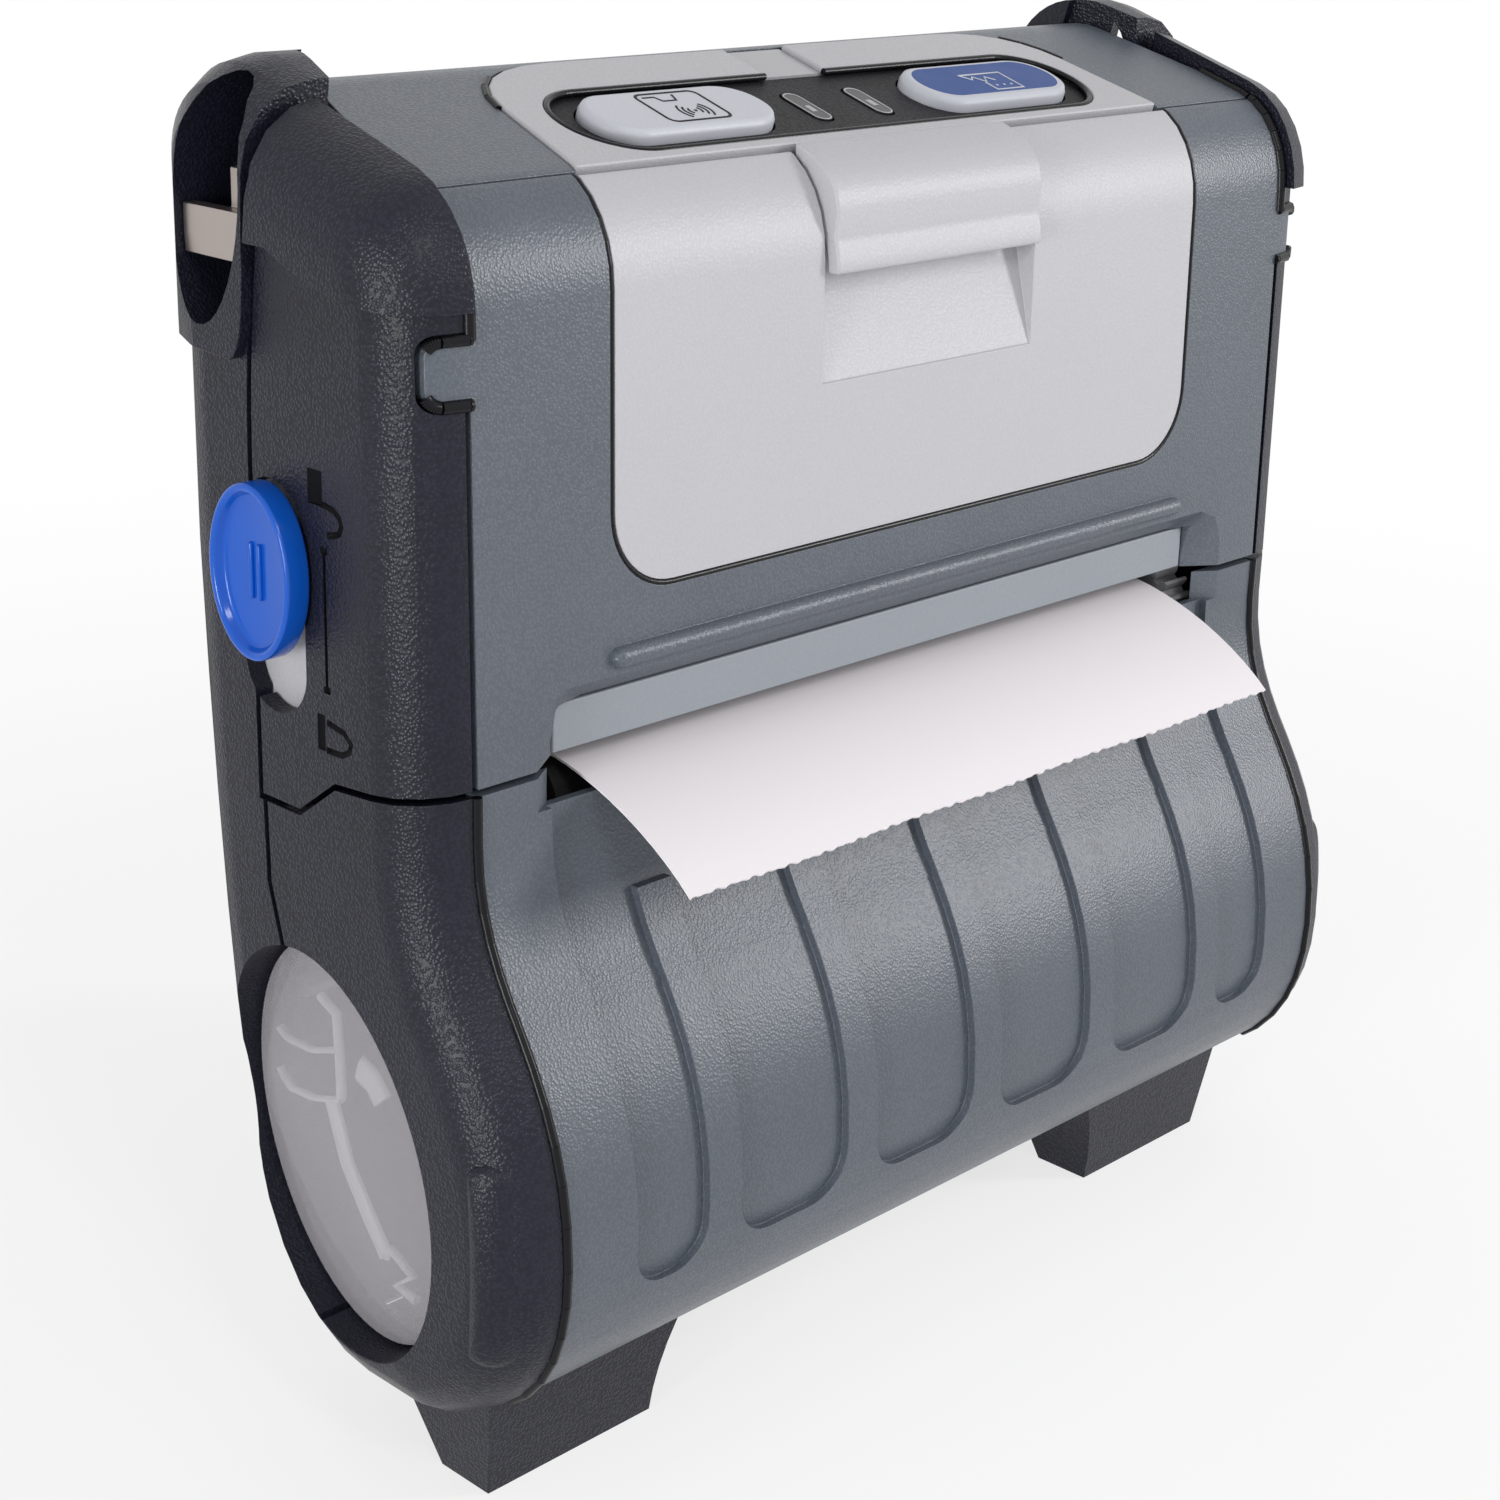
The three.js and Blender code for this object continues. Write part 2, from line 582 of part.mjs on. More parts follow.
function rearHousing() {
  const behind = cut(block(-FAR, FAR, FRONT, REAR, -OVERRUN, 1.2 * SKY),
    acrossX(upperSideRegion(HALF_SEAM), -FAR, FAR), acrossX(lowerSideRegion(HALF_SEAM), -FAR, FAR));
  const behindMiddle = acrossX(polygon([
    [LOW_SEAM_Y + HALF_SEAM, -OVERRUN], [LOW_SEAM_Y + HALF_SEAM, BULGE_Z], [SIDE_SEAM_Y + HALF_SEAM, JOINT_Z],
    [PLATE_BACK_Y + SEAM, TOP_FRONT_Z], [PLATE_BACK_Y + SEAM, 1.2 * SKY], [REAR, 1.2 * SKY],
    [REAR, -OVERRUN],
  ]), -HALF_FACE - HALF_SEAM, HALF_FACE + HALF_SEAM);
  const sides = join(block(-FAR, -HALF_FACE - HALF_SEAM, FRONT, REAR, -OVERRUN, 1.2 * SKY),
    block(HALF_FACE + HALF_SEAM, FAR, FRONT, REAR, -OVERRUN, 1.2 * SKY));
  const region = join(sides.intersect(behind), behindMiddle);
  let body = cut(skin().intersect(region), onPanel(plateOutline(SEAM), -2 * OVERRUN, OVERRUN));
  body = join(body, heel());
  const seatRing = acrossX(windowOval(2 * WALL), -FAR, FAR, WINDOW_STEPS).intersect(hull(0));
  body = join(body, seatRing.intersect(sides.intersect(behind)));
  for (const side of [-1, 1]) {
    const loopHull = join(hull(-LOOP_PROUD), hull(-LOOP_PROUD).translate([0, 0, LOOP_RISE]));
    const loop = cut(acrossX(loopRegion(), side * LOOP_INNER_X, side * FAR).intersect(loopHull),
      onPanel(plateOutline(SEAM), -2 * OVERRUN, OVERRUN));
    body = join(body, cut(loop, hull(WALL).intersect(block(-FAR, FAR, FRONT, POCKET_Y - POCKET_HALF_Y - WALL,
      -OVERRUN, SKY))));
    const pocket = oval(POCKET_Y, POCKET_Z, POCKET_HALF_Y, POCKET_HALF_Z, POCKET_LEAN);
    const floor = side * (SIDE - POCKET_DEPTH);
    body = cut(body, acrossX(pocket, floor, side * FAR, SMALL_STEPS));
    const seat = block(side * ROD_SEAT_X, side * (ROD_SEAT_X + ROD_SEAT), ROD_Y - ROD_SEAT_HALF, rodSeatBack,
      ROD_Z - ROD_SEAT_HALF, ROD_Z + ROD_SEAT_HALF);
    body = join(body, seat.intersect(hull(WALL / 2)));
    body = cut(body, rodX(ROD_R + FIT, side * (ROD_SEAT_X - OVERRUN), side * (ROD_HALF + FIT), ROD_Y, ROD_Z,
      SMALL_STEPS));
    const lugEnd = side * (HINGE_LUG_X + HINGE_LUG_WIDE);
    const lug = join(rodX(HINGE_LUG_R, side * HINGE_LUG_X, lugEnd, HINGE_Y, HINGE_Z, SMALL_STEPS),
      block(side * HINGE_LUG_X, lugEnd, HINGE_Y, HINGE_Y + HINGE_BLOCK, HINGE_Z - HINGE_PIN_R / 2,
        HINGE_Z + HINGE_LUG_R));
    const coverLugClear = rodX(HINGE_LUG_R + 2 * FIT, lugEnd, side * (HINGE_LUG_X + 2 * HINGE_LUG_WIDE + 3 * FIT),
      HINGE_Y, HINGE_Z, SMALL_STEPS);
    body = cut(join(cut(body, coverLugClear), lug),
      rodX(HINGE_PIN_R + FIT, side * (HINGE_LUG_X - OVERRUN), side * FAR / 2, HINGE_Y, HINGE_Z, SMALL_STEPS)
        .intersect(block(side * (HINGE_LUG_X - OVERRUN), lugEnd + side * FIT, FRONT, REAR, -OVERRUN, SKY)));
    for (const z of [SCREW_LOW_Z, SCREW_HIGH_Z]) {
      const back = BACK_Y - WALL / 2;
      const boss = rodY(BOSS_R, FRAME_Y + FRAME_THICK + FIT, back, side * SCREW_X, z);
      body = join(body, boss);
      body = cut(body, rodY(SCREW_R + FIT, FRAME_Y, REAR, side * SCREW_X, z),
        rodY(SCREW_HEAD_R + FIT, BACK_Y - SCREW_HEAD_TALL - FIT, REAR, side * SCREW_X, z));
    }
  }
  body = cut(body, acrossX(windowOval(0), -FAR, FAR, WINDOW_STEPS));
  body = cut(body, acrossX(latchSlot(0), -FAR, -HALF_FACE));
  return meshOf('rear_housing', body, plastic.dark);
}

// Side covers with the corner bumper pads
function padRegion() {
  const s = new THREE.Shape();
  s.moveTo(FRONT, PAD_LOW_Z);
  s.lineTo(0, PAD_LOW_Z);
  s.quadraticCurveTo(0.6 * PAD_BACK_Y, PAD_LOW_Z, PAD_BACK_Y, PAD_BACK_Z);
  s.lineTo(SIDE_SEAM_Y - HALF_SEAM, PAD_BACK_Z);
  s.lineTo(SIDE_SEAM_Y - HALF_SEAM, 1.1 * SKY);
  s.lineTo(FRONT, 1.1 * SKY);
  return s;
}

function tabNotch(grow) {
  const shape = roundedBox(0, (TAB_LOW_Z + TAB_HIGH_Z) / 2, 2 * (TAB_REACH + grow),
    TAB_HIGH_Z - TAB_LOW_Z + 2 * grow, TAB_ROUND + grow / 2);
  return acrossY(shape, FRONT, TOP_FRONT_Y);
}

function sideCover(name, side) {
  const inner = side * (HALF_FACE + HALF_SEAM);
  const region = acrossX(upperSideRegion(-HALF_SEAM), inner, side * FAR);
  const pad = acrossX(padRegion(), inner, side * FAR).intersect(skin(-PAD_PROUD));
  let body = cut(join(skin(), pad).intersect(region), tabNotch(SEAM));
  if (side < 0) body = cut(body, acrossX(latchSlot(0), -FAR, -HALF_FACE));
  return meshOf(name, body, plastic.dark);
}

// Front cover: U-shaped round the battery door, with the raised bar and the hood over the paper mouth
function doorOutline(grow) {
  const high = SKY - DOOR_LOW_Z;
  return roundedBox(0, DOOR_LOW_Z + high / 2, 2 * (DOOR_HALF + grow), high + 2 * grow, DOOR_ROUND + grow);
}

function mouthFunnel() {
  const points = [];
  const rings = [
    [0, MOUTH_HALF_OUT, MOUTH_TOP_OUT_Z],
    [MOUTH_DEPTH, MOUTH_HALF_IN, MOUTH_TOP_IN_Z],
  ];
  for (const [y, half, top] of rings) {
    for (const side of [-1, 1]) {
      points.push(new THREE.Vector3(side * half, y, JOINT_Z - EAR_DROP));
      for (let i = 0; i <= 2; i += 1) {
        const angle = i * Math.PI / 4;
        points.push(new THREE.Vector3(side * (half - MOUTH_CORNER * (1 - Math.cos(angle))), y,
          top - MOUTH_CORNER * (1 - Math.sin(angle))));
      }
    }
  }
  const throat = block(-MOUTH_HALF_IN, MOUTH_HALF_IN, 0, 2 * HOOD_DEPTH, JOINT_Z - EAR_DROP, MOUTH_TOP_IN_Z);
  return join(solid(new ConvexGeometry(points)), throat);
}

function frontCover() {
  const middle = block(-HALF_FACE + HALF_SEAM, HALF_FACE - HALF_SEAM, FRONT, TOP_FRONT_Y,
    JOINT_Z + HALF_SEAM, SKY);
  const tabs = tabNotch(0).intersect(block(-FAR, FAR, FRONT, TOP_FRONT_Y, JOINT_Z, SKY));
  let body = skin().intersect(join(middle, tabs));
  const hood = acrossX(polygon([
    [WALL / 2, JOINT_Z + HALF_SEAM], [HOOD_DEPTH, JOINT_Z + HALF_SEAM], [HOOD_DEPTH, MOUTH_TOP_IN_Z + WALL],
    [WALL / 2, HOOD_TOP_Z],
  ]), -MOUTH_HALF_OUT - WALL / 2, MOUTH_HALF_OUT + WALL / 2);
  const bar = rodX(BAR_RADIUS, -BAR_HALF + BAR_RADIUS, BAR_HALF - BAR_RADIUS, 0, BAR_Z, SMALL_STEPS);
  const ends = [-1, 1].map((side) => {
    const tip = new THREE.SphereGeometry(BAR_RADIUS, SMALL_STEPS / 2, SMALL_STEPS / 2);
    tip.translate(side * (BAR_HALF - BAR_RADIUS), 0, BAR_Z);
    return solid(tip);
  });
  body = join(body, hood, bar, ...ends);
  body = cut(body, mouthFunnel(), acrossY(doorOutline(DOOR_CLEAR), FRONT, TOP_BACK_Y));
  return meshOf('front_cover', body, plastic.grey);
}

// The pull tab in side view: it follows the rounded edge of the case and flares out at its lip
function tabOutline() {
  const slope = Math.tan(PANEL_TILT);
  const topY = TOP_FRONT_Y - FIT;
  const topZ = TOP_FRONT_Z + PULL_PROUD;
  const lipY = FACE_LEAN - PULL_FLARE;
  const s = new THREE.Shape();
  s.moveTo(topY, topZ - PULL_THICK);
  s.lineTo(topY, topZ);
  s.bezierCurveTo(0.5 * topY, topZ - 0.5 * topY * slope, -0.25 * topY, topZ - 0.45 * topY, lipY + 0.4 * PULL_THICK,
    PULL_LOW_Z + 2.4 * PULL_THICK);
  s.quadraticCurveTo(lipY, PULL_LOW_Z + PULL_THICK, lipY, PULL_LOW_Z + 0.4 * PULL_THICK);
  s.quadraticCurveTo(lipY, PULL_LOW_Z, lipY + 0.4 * PULL_THICK, PULL_LOW_Z);
  s.lineTo(lipY + PULL_THICK, PULL_LOW_Z);
  s.quadraticCurveTo(lipY + 1.1 * PULL_THICK, PULL_LOW_Z + 2 * PULL_THICK, lipY + 2 * PULL_THICK,
    PULL_LOW_Z + 3.2 * PULL_THICK);
  s.quadraticCurveTo(lipY + 3 * PULL_THICK, topZ - 1.5 * PULL_THICK, topY, topZ - PULL_THICK);
  return s;
}

// Battery door with the recess behind the pull tab, and the tab itself
function doorParts() {
  const region = acrossY(doorOutline(0), FRONT, TOP_FRONT_Y - FIT);
  const pan = block(-PULL_HALF - WALL, PULL_HALF + WALL, WALL / 2, SCOOP_DEEP + WALL, SCOOP_LOW_Z,
    TOP_FRONT_Z - WALL).intersect(hull(WALL / 2));
  let door = join(skin().intersect(region), pan.intersect(region));
  const scoop = acrossX(polygon([
    [FRONT, SCOOP_LOW_Z - SCOOP_DEEP], [FACE_LEAN, SCOOP_LOW_Z], [SCOOP_DEEP + FACE_LEAN / 2, PULL_LOW_Z],
    [SCOOP_DEEP + FACE_LEAN / 2, TOP_FRONT_Z + SCOOP_DEEP], [FRONT, TOP_FRONT_Z + SCOOP_DEEP],
  ]), -PULL_HALF, PULL_HALF);
  const rearCut = block(-PULL_HALF, PULL_HALF, SCOOP_DEEP + FACE_LEAN / 2, TOP_FRONT_Y,
    TOP_FRONT_Z - 3.3 * WALL, SKY);
  door = cut(door, scoop, rearCut);
  const tab = acrossX(tabOutline(), -PULL_HALF + DOOR_CLEAR, PULL_HALF - DOOR_CLEAR);
  return [meshOf('battery_door', door, plastic.light), meshOf('door_tab', tab, plastic.light)];
}

// Top cover and everything on the sloping panel
function bezelOutline(grow) {
  const s = new THREE.Shape();
  const half = BEZEL_HALF + grow;
  const back = BEZEL_DEPTH + grow;
  const front = 2 * FIT - grow;
  const side = half - BEZEL_TAPER;
  const round = BEZEL_ROUND;
  s.moveTo(-half, front);
  s.lineTo(half, front);
  s.lineTo(side, back - round);
  s.bezierCurveTo(side - 0.1 * round, back - 0.4 * round, side - 0.6 * round, back, side - 1.5 * round, back);
  s.lineTo(-side + 1.5 * round, back);
  s.bezierCurveTo(-side + 0.6 * round, back, -side + 0.1 * round, back - 0.4 * round, -side, back - round);
  return s;
}

function pill(x, v, long, wide, grow = 0) {
  return roundedBox(x, v, long + 2 * grow, wide + 2 * grow, (wide + 2 * grow) / 2 - FIT / 10);
}

function plateOutline(grow) {
  const half = HALF_FACE - HALF_SEAM + grow;
  const backHalf = PLATE_BACK_HALF + grow;
  const back = (PLATE_BACK_Y - TOP_FRONT_Y) / Math.cos(PANEL_TILT) + grow;
  return polygon([[-half, FIT], [half, FIT], [half, 0.3 * back], [backHalf, back], [-backHalf, back],
    [-half, 0.3 * back]]);
}

function panelParts() {
  const topRegion = onPanel(plateOutline(0), -OVERRUN, OVERRUN);
  const opening = onPanel(bezelOutline(FIT), -OVERRUN, OVERRUN);
  const topCover = cut(skin().intersect(topRegion), opening);
  const irV = BEZEL_DEPTH - IR_LONG / 2;
  const irShape = (grow) => roundedBox(0, irV + OVERRUN / 2, 2 * (IR_HALF + grow),
    IR_LONG + 2 * grow + OVERRUN, FIT);
  const keypadHole = onPanel(pill(0, KEYPAD_V, 2 * KEYPAD_HALF, KEYPAD_DEPTH, FIT), -OVERRUN, OVERRUN);
  const bezel = cut(onPanel(bezelOutline(0), -WALL, BEZEL_PROUD), keypadHole,
    onPanel(irShape(FIT), -OVERRUN, OVERRUN));
  const irWindow = onPanel(roundedBox(0, irV, 2 * IR_HALF, IR_LONG, FIT), -WALL, -BEZEL_PROUD);
  let keypad = onPanel(pill(0, KEYPAD_V, 2 * KEYPAD_HALF, KEYPAD_DEPTH), -KEYPAD_DROP - KEYPAD_THICK,
    -KEYPAD_DROP);
  const ledShape = (x, grow) => roundedBox(x, KEYPAD_V, LED_WIDE + 2 * grow, LED_LONG + 2 * grow,
    LED_WIDE / 2 + grow - FIT / 10);
  for (const side of [-1, 1]) {
    keypad = cut(keypad,
      onPanel(pill(side * BUTTON_X, KEYPAD_V, 2 * BUTTON_HALF, BUTTON_DEPTH, FIT), -OVERRUN, OVERRUN),
      onPanel(ledShape(side * LED_X, FIT), -OVERRUN, OVERRUN));
  }
  const button = (x) => onPanel(pill(x, KEYPAD_V, 2 * BUTTON_HALF, BUTTON_DEPTH), BUTTON_PROUD - BUTTON_TALL,
    BUTTON_PROUD);
  const led = (x) => onPanel(ledShape(x, 0), -KEYPAD_DROP - KEYPAD_THICK, FIT / 2 - KEYPAD_DROP);
  const board = onPanel(roundedBox(0, KEYPAD_V, 2 * KEYPAD_HALF, KEYPAD_DEPTH, FIT),
    -BUTTON_BOARD_DROP, BUTTON_BOARD_THICK - BUTTON_BOARD_DROP);
  const posts = [-1, 1].map((side) => onPanel(
    roundedBox(side * (KEYPAD_HALF - 0.75 * WALL), KEYPAD_V, WALL, WALL, FIT),
    -BUTTON_BOARD_DROP + BUTTON_BOARD_THICK / 2, -KEYPAD_DROP - KEYPAD_THICK - FIT));
  return [
    meshOf('top_cover', topCover, plastic.grey),
    meshOf('control_bezel', bezel, plastic.light),
    meshOf('infrared_window', irWindow, { color: 0xaaaaaf, roughness: 0.2, opacity: 0.6 }),
    meshOf('keypad_plate', keypad, { color: 0x323234, roughness: 0.4 }),
    meshOf('status_led_left', led(-LED_X), { color: 0x5a5a5e, roughness: 0.3 }),
    meshOf('status_led_right', led(LED_X), { color: 0x5a5a5e, roughness: 0.3 }),
    meshOf('feed_button', button(-BUTTON_X), { color: 0xcdcfd7, roughness: 0.5 }),
    meshOf('power_button', button(BUTTON_X), { color: 0x144696, roughness: 0.35 }),
    meshOf('button_board', join(board, ...posts), { color: 0x1f5a34, roughness: 0.5 }),
  ];
}

// Media cover: the dark frame with its feet, the fluted shell and the side windows
function frontFoot(side) {
  const profile = polygon([
    [FOOT_FRONT_Y, 0], [FOOT_FRONT_Y + FOOT_DEPTH, 0], [FOOT_FRONT_Y + 1.9 * FOOT_DEPTH, 1.1 * BASE_Z],
    [FOOT_FRONT_Y + 1.9 * FOOT_DEPTH, 1.6 * BASE_Z], [-2 * FOOT_FRONT_Y, 1.6 * BASE_Z],
  ]);
  const face = new THREE.Shape();
  face.moveTo(side * FOOT_OUT, 0);
  face.lineTo(side * FOOT_IN, 0);
  face.quadraticCurveTo(side * FOOT_IN, 0.8 * BASE_Z, side * (FOOT_IN - FOOT_FLARE), 1.6 * BASE_Z);
  face.lineTo(side * (FOOT_OUT + WALL), 1.6 * BASE_Z);
  face.closePath();
  const foot = acrossX(profile, 0, side * FAR).intersect(acrossY(face, FRONT, REAR));
  return cut(foot, hull(WALL / 2));
}

function platenBracket(side) {
  const x0 = side * BRACKET_X;
  const x1 = side * (BRACKET_X + BRACKET_THICK);
  const plate = acrossX(polygon([
    [PLATEN_Y - 1.5 * BRACKET_R, BEAM_LOW_Z], [PLATEN_Y, BEAM_LOW_Z],
    [PLATEN_Y + BRACKET_R, PLATEN_Z], [PLATEN_Y - BRACKET_R, PLATEN_Z],
  ]), x0, x1);
  return cut(join(plate, rodX(BRACKET_R, x0, x1, PLATEN_Y, PLATEN_Z)),
    rodX(BUSH_R + FIT, -FAR, FAR, PLATEN_Y, PLATEN_Z));
}

function mediaCoverFrame() {
  const cheeks = cut(acrossX(lowerSideRegion(-HALF_SEAM), -FAR, FAR),
    block(-HALF_FACE - HALF_SEAM, HALF_FACE + HALF_SEAM, FRONT, REAR, -OVERRUN, SKY)).intersect(hull(0));
  const rim = skin().intersect(block(-HALF_FACE - SEAM, HALF_FACE + SEAM, FRONT, LOW_SEAM_Y - HALF_SEAM, -OVERRUN,
    SHELL_BOTTOM_Z - SEAM));
  const beam = block(-HALF_FACE - SEAM, HALF_FACE + SEAM, FRONT, BEAM_DEEP, BEAM_LOW_Z, BEAM_LOW_Z + BEAM_HIGH)
    .intersect(hull(WALL + FIT));
  let body = join(cut(cheeks, acrossX(windowOval(0), -FAR, FAR, WINDOW_STEPS)), rim, beam);
  for (const side of [-1, 1]) {
    const bracket = platenBracket(side).intersect(hull(WALL + FIT));
    const lug0 = side * (HINGE_LUG_X + HINGE_LUG_WIDE + FIT);
    const lug1 = lug0 + side * HINGE_LUG_WIDE;
    const lug = join(rodX(HINGE_LUG_R, lug0, lug1, HINGE_Y, HINGE_Z, SMALL_STEPS),
      block(lug0, lug1, HINGE_Y - HINGE_BLOCK, HINGE_Y, HINGE_Z - HINGE_PIN_R, HINGE_Z + HINGE_LUG_R));
    const housingLugClear = rodX(HINGE_LUG_R + 2 * FIT, side * (HINGE_LUG_X - FIT), lug0, HINGE_Y, HINGE_Z,
      SMALL_STEPS);
    body = join(cut(body, housingLugClear), bracket, frontFoot(side), lug);
    body = cut(body, rodX(HINGE_PIN_R + FIT, lug0 - side * OVERRUN, lug1 + side * FIT, HINGE_Y, HINGE_Z,
      SMALL_STEPS));
  }
  const notch = block(-HALF_FACE, -SIDE + WALL, FINGER_Y - FINGER_WIDE, REAR,
    FINGER_LOW_Z - LATCH_TRAVEL - SEAM, JOINT_Z);
  return meshOf('media_cover_frame', cut(body, notch), plastic.dark);
}

function fluteField() {
  const top = block(-FLUTE_FIELD_HALF, FLUTE_FIELD_HALF, FRONT, MOUTH_DEPTH, RIB_TOP_Z, JOINT_Z);
  const edge = FLUTE_FIELD_HALF;
  const ribs = [-2, -1, 0, 1, 2].map((i) => i * FLUTE_PITCH);
  const walls = [-edge - RIB_WIDTH / 2, ...ribs, edge + RIB_WIDTH / 2];
  const flutes = walls.slice(1).map((right, i) => {
    const left = walls[i];
    const wide = right - left - RIB_WIDTH;
    const high = RIB_TOP_Z - FLUTE_LOW_Z + 2 * FLUTE_ROUND;
    const round = Math.min(FLUTE_ROUND, 0.45 * wide);
    return acrossY(roundedBox((left + right) / 2, FLUTE_LOW_Z + high / 2, wide, high, round),
      FRONT, MOUTH_DEPTH);
  });
  return join(top, ...flutes);
}

function mediaCoverShell() {
  const region = block(-HALF_FACE + HALF_SEAM, HALF_FACE - HALF_SEAM, FRONT, BASE_FRONT_Y,
    SHELL_BOTTOM_Z, JOINT_Z - HALF_SEAM);
  const lip = block(-SHELL_LIP_HALF, SHELL_LIP_HALF, FRONT, REAR, JOINT_Z - EAR_DROP, SKY);
  const flutes = cut(fluteField(), hull(FLUTE_DEEP));
  return meshOf('media_cover_shell', cut(skin().intersect(region), flutes, lip, mouthFunnel()), plastic.grey);
}

function windowLens(name, side) {
  const outer = side * (SIDE - LENS_DEPTH);
  const body = acrossX(windowOval(-LENS_CLEAR), outer, outer - side * LENS_THICK, WINDOW_STEPS);
  return meshOf(name, body, { color: 0xe8ecee, roughness: 0.1, opacity: 0.35 });
}

// Latch: the button outside, the slider behind the wall and its finger reaching down to the media cover
function latchParts() {
  const wallInside = SIDE - WALL;
  const sliderOuter = -(wallInside - FIT);
  const sliderInner = sliderOuter + SLIDER_THICK;
  const button = join(
    acrossX(oval(LATCH_Y, LATCH_Z, LATCH_WIDE / 2, LATCH_HIGH / 2), -(SIDE + FIT), -(SIDE + LATCH_THICK),
      RING_STEPS),
    acrossX(roundedBox(SLOT_Y, LATCH_Z, LATCH_NECK_WIDE, LATCH_NECK_HIGH, LATCH_NECK_WIDE / 2.2),
      sliderOuter - FIT, -(SIDE + 2 * FIT)));
  const dish = new THREE.SphereGeometry(2.2 * LATCH_HIGH, RING_STEPS, SMALL_STEPS);
  dish.rotateZ(Math.PI / 2).scale(1, LATCH_WIDE / LATCH_HIGH, 1);
  dish.translate(-(SIDE + LATCH_THICK) - 2.2 * LATCH_HIGH + WALL / 2, LATCH_Y, LATCH_Z);
  const plate = acrossX(roundedBox(SLOT_Y, (SLIDER_LOW_Z + SLIDER_HIGH_Z) / 2, SLIDER_WIDE,
    SLIDER_HIGH_Z - SLIDER_LOW_Z, WALL), sliderOuter, sliderInner);
  const finger = block(sliderOuter, sliderInner, FINGER_Y - FINGER_WIDE / 2, FINGER_Y + FINGER_WIDE / 2,
    FINGER_LOW_Z, SLIDER_LOW_Z + WALL);
  const springX = (sliderOuter + sliderInner) / 2 + LATCH_SPRING_R / 2;
  const spring = rodZ(LATCH_SPRING_R, SLIDER_HIGH_Z + FIT, SLIDER_HIGH_Z + LATCH_SPRING_LONG, springX, SLOT_Y);
  return [
    meshOf('latch_button', cut(button, solid(dish)), { color: 0x1e50c8, roughness: 0.25 }),
    meshOf('latch_slider', join(plate, finger), plastic.light),
    meshOf('latch_spring', spring, metal.steel),
  ];
}

// Gears with involute flanks; a tooth is centred at the given angle
function involute(angle) {
  return Math.tan(angle) - angle;
}

function gearShape(teeth, phase) {
  const pitchR = teeth * GEAR_MODULE / 2;
  const baseR = pitchR * Math.cos(PRESSURE_ANGLE);
  const thinShare = 0.44;
  const radii = [pitchR - 1.2 * GEAR_MODULE, pitchR - 0.4 * GEAR_MODULE, pitchR + 0.3 * GEAR_MODULE,
    pitchR + 0.85 * GEAR_MODULE];
  const halves = radii.map((r) => {
    const roll = Math.acos(Math.min(1, baseR / Math.max(r, baseR)));
    return thinShare * Math.PI / teeth + involute(PRESSURE_ANGLE) - involute(roll);
  });
  const points = [];
  for (let i = 0; i < teeth; i += 1) {
    const centre = phase + i * 2 * Math.PI / teeth;
    radii.forEach((r, k) => points.push([r * Math.cos(centre - halves[k]), r * Math.sin(centre - halves[k])]));
    [...radii].reverse().forEach((r, k) => {
      const half = halves[radii.length - 1 - k];
      points.push([r * Math.cos(centre + half), r * Math.sin(centre + half)]);
    });
  }
  return polygon(points);
}

// The phase that puts a gap of the second gear round the first one's tooth
function meshingPhase(teethA, phaseA, direction, teethB) {
  const pitch = 2 * Math.PI / teethA;
  const offset = ((phaseA - direction) % pitch + pitch) % pitch;
  return direction + Math.PI - offset * teethA / teethB + Math.PI / teethB;
}

function gear(teeth, phase, y, z, bore) {
  const geometry = acrossX(gearShape(teeth, phase), GEAR_X, GEAR_X + GEAR_WIDE);
  const placed = geometry.getMesh();
  const moved = new THREE.BufferGeometry();
  moved.setAttribute('position', new THREE.BufferAttribute(new Float32Array(placed.vertProperties), 3));
  moved.setIndex(new THREE.BufferAttribute(new Uint32Array(placed.triVerts), 1));
  moved.translate(0, y, z);
  const body = solid(moved);
  return bore > 0 ? cut(body, rodX(bore, -FAR, FAR, y, z, SMALL_STEPS)) : body;
}

const idlerDistance = (PLATEN_TEETH + IDLER_TEETH) * GEAR_MODULE / 2;
const pinionDistance = (IDLER_TEETH + PINION_TEETH) * GEAR_MODULE / 2;
const IDLER_Y = PLATEN_Y + idlerDistance * Math.cos(IDLER_ANGLE);
const IDLER_Z = PLATEN_Z + idlerDistance * Math.sin(IDLER_ANGLE);
const PINION_Y = IDLER_Y + pinionDistance * Math.cos(PINION_ANGLE);
const PINION_Z = IDLER_Z + pinionDistance * Math.sin(PINION_ANGLE);

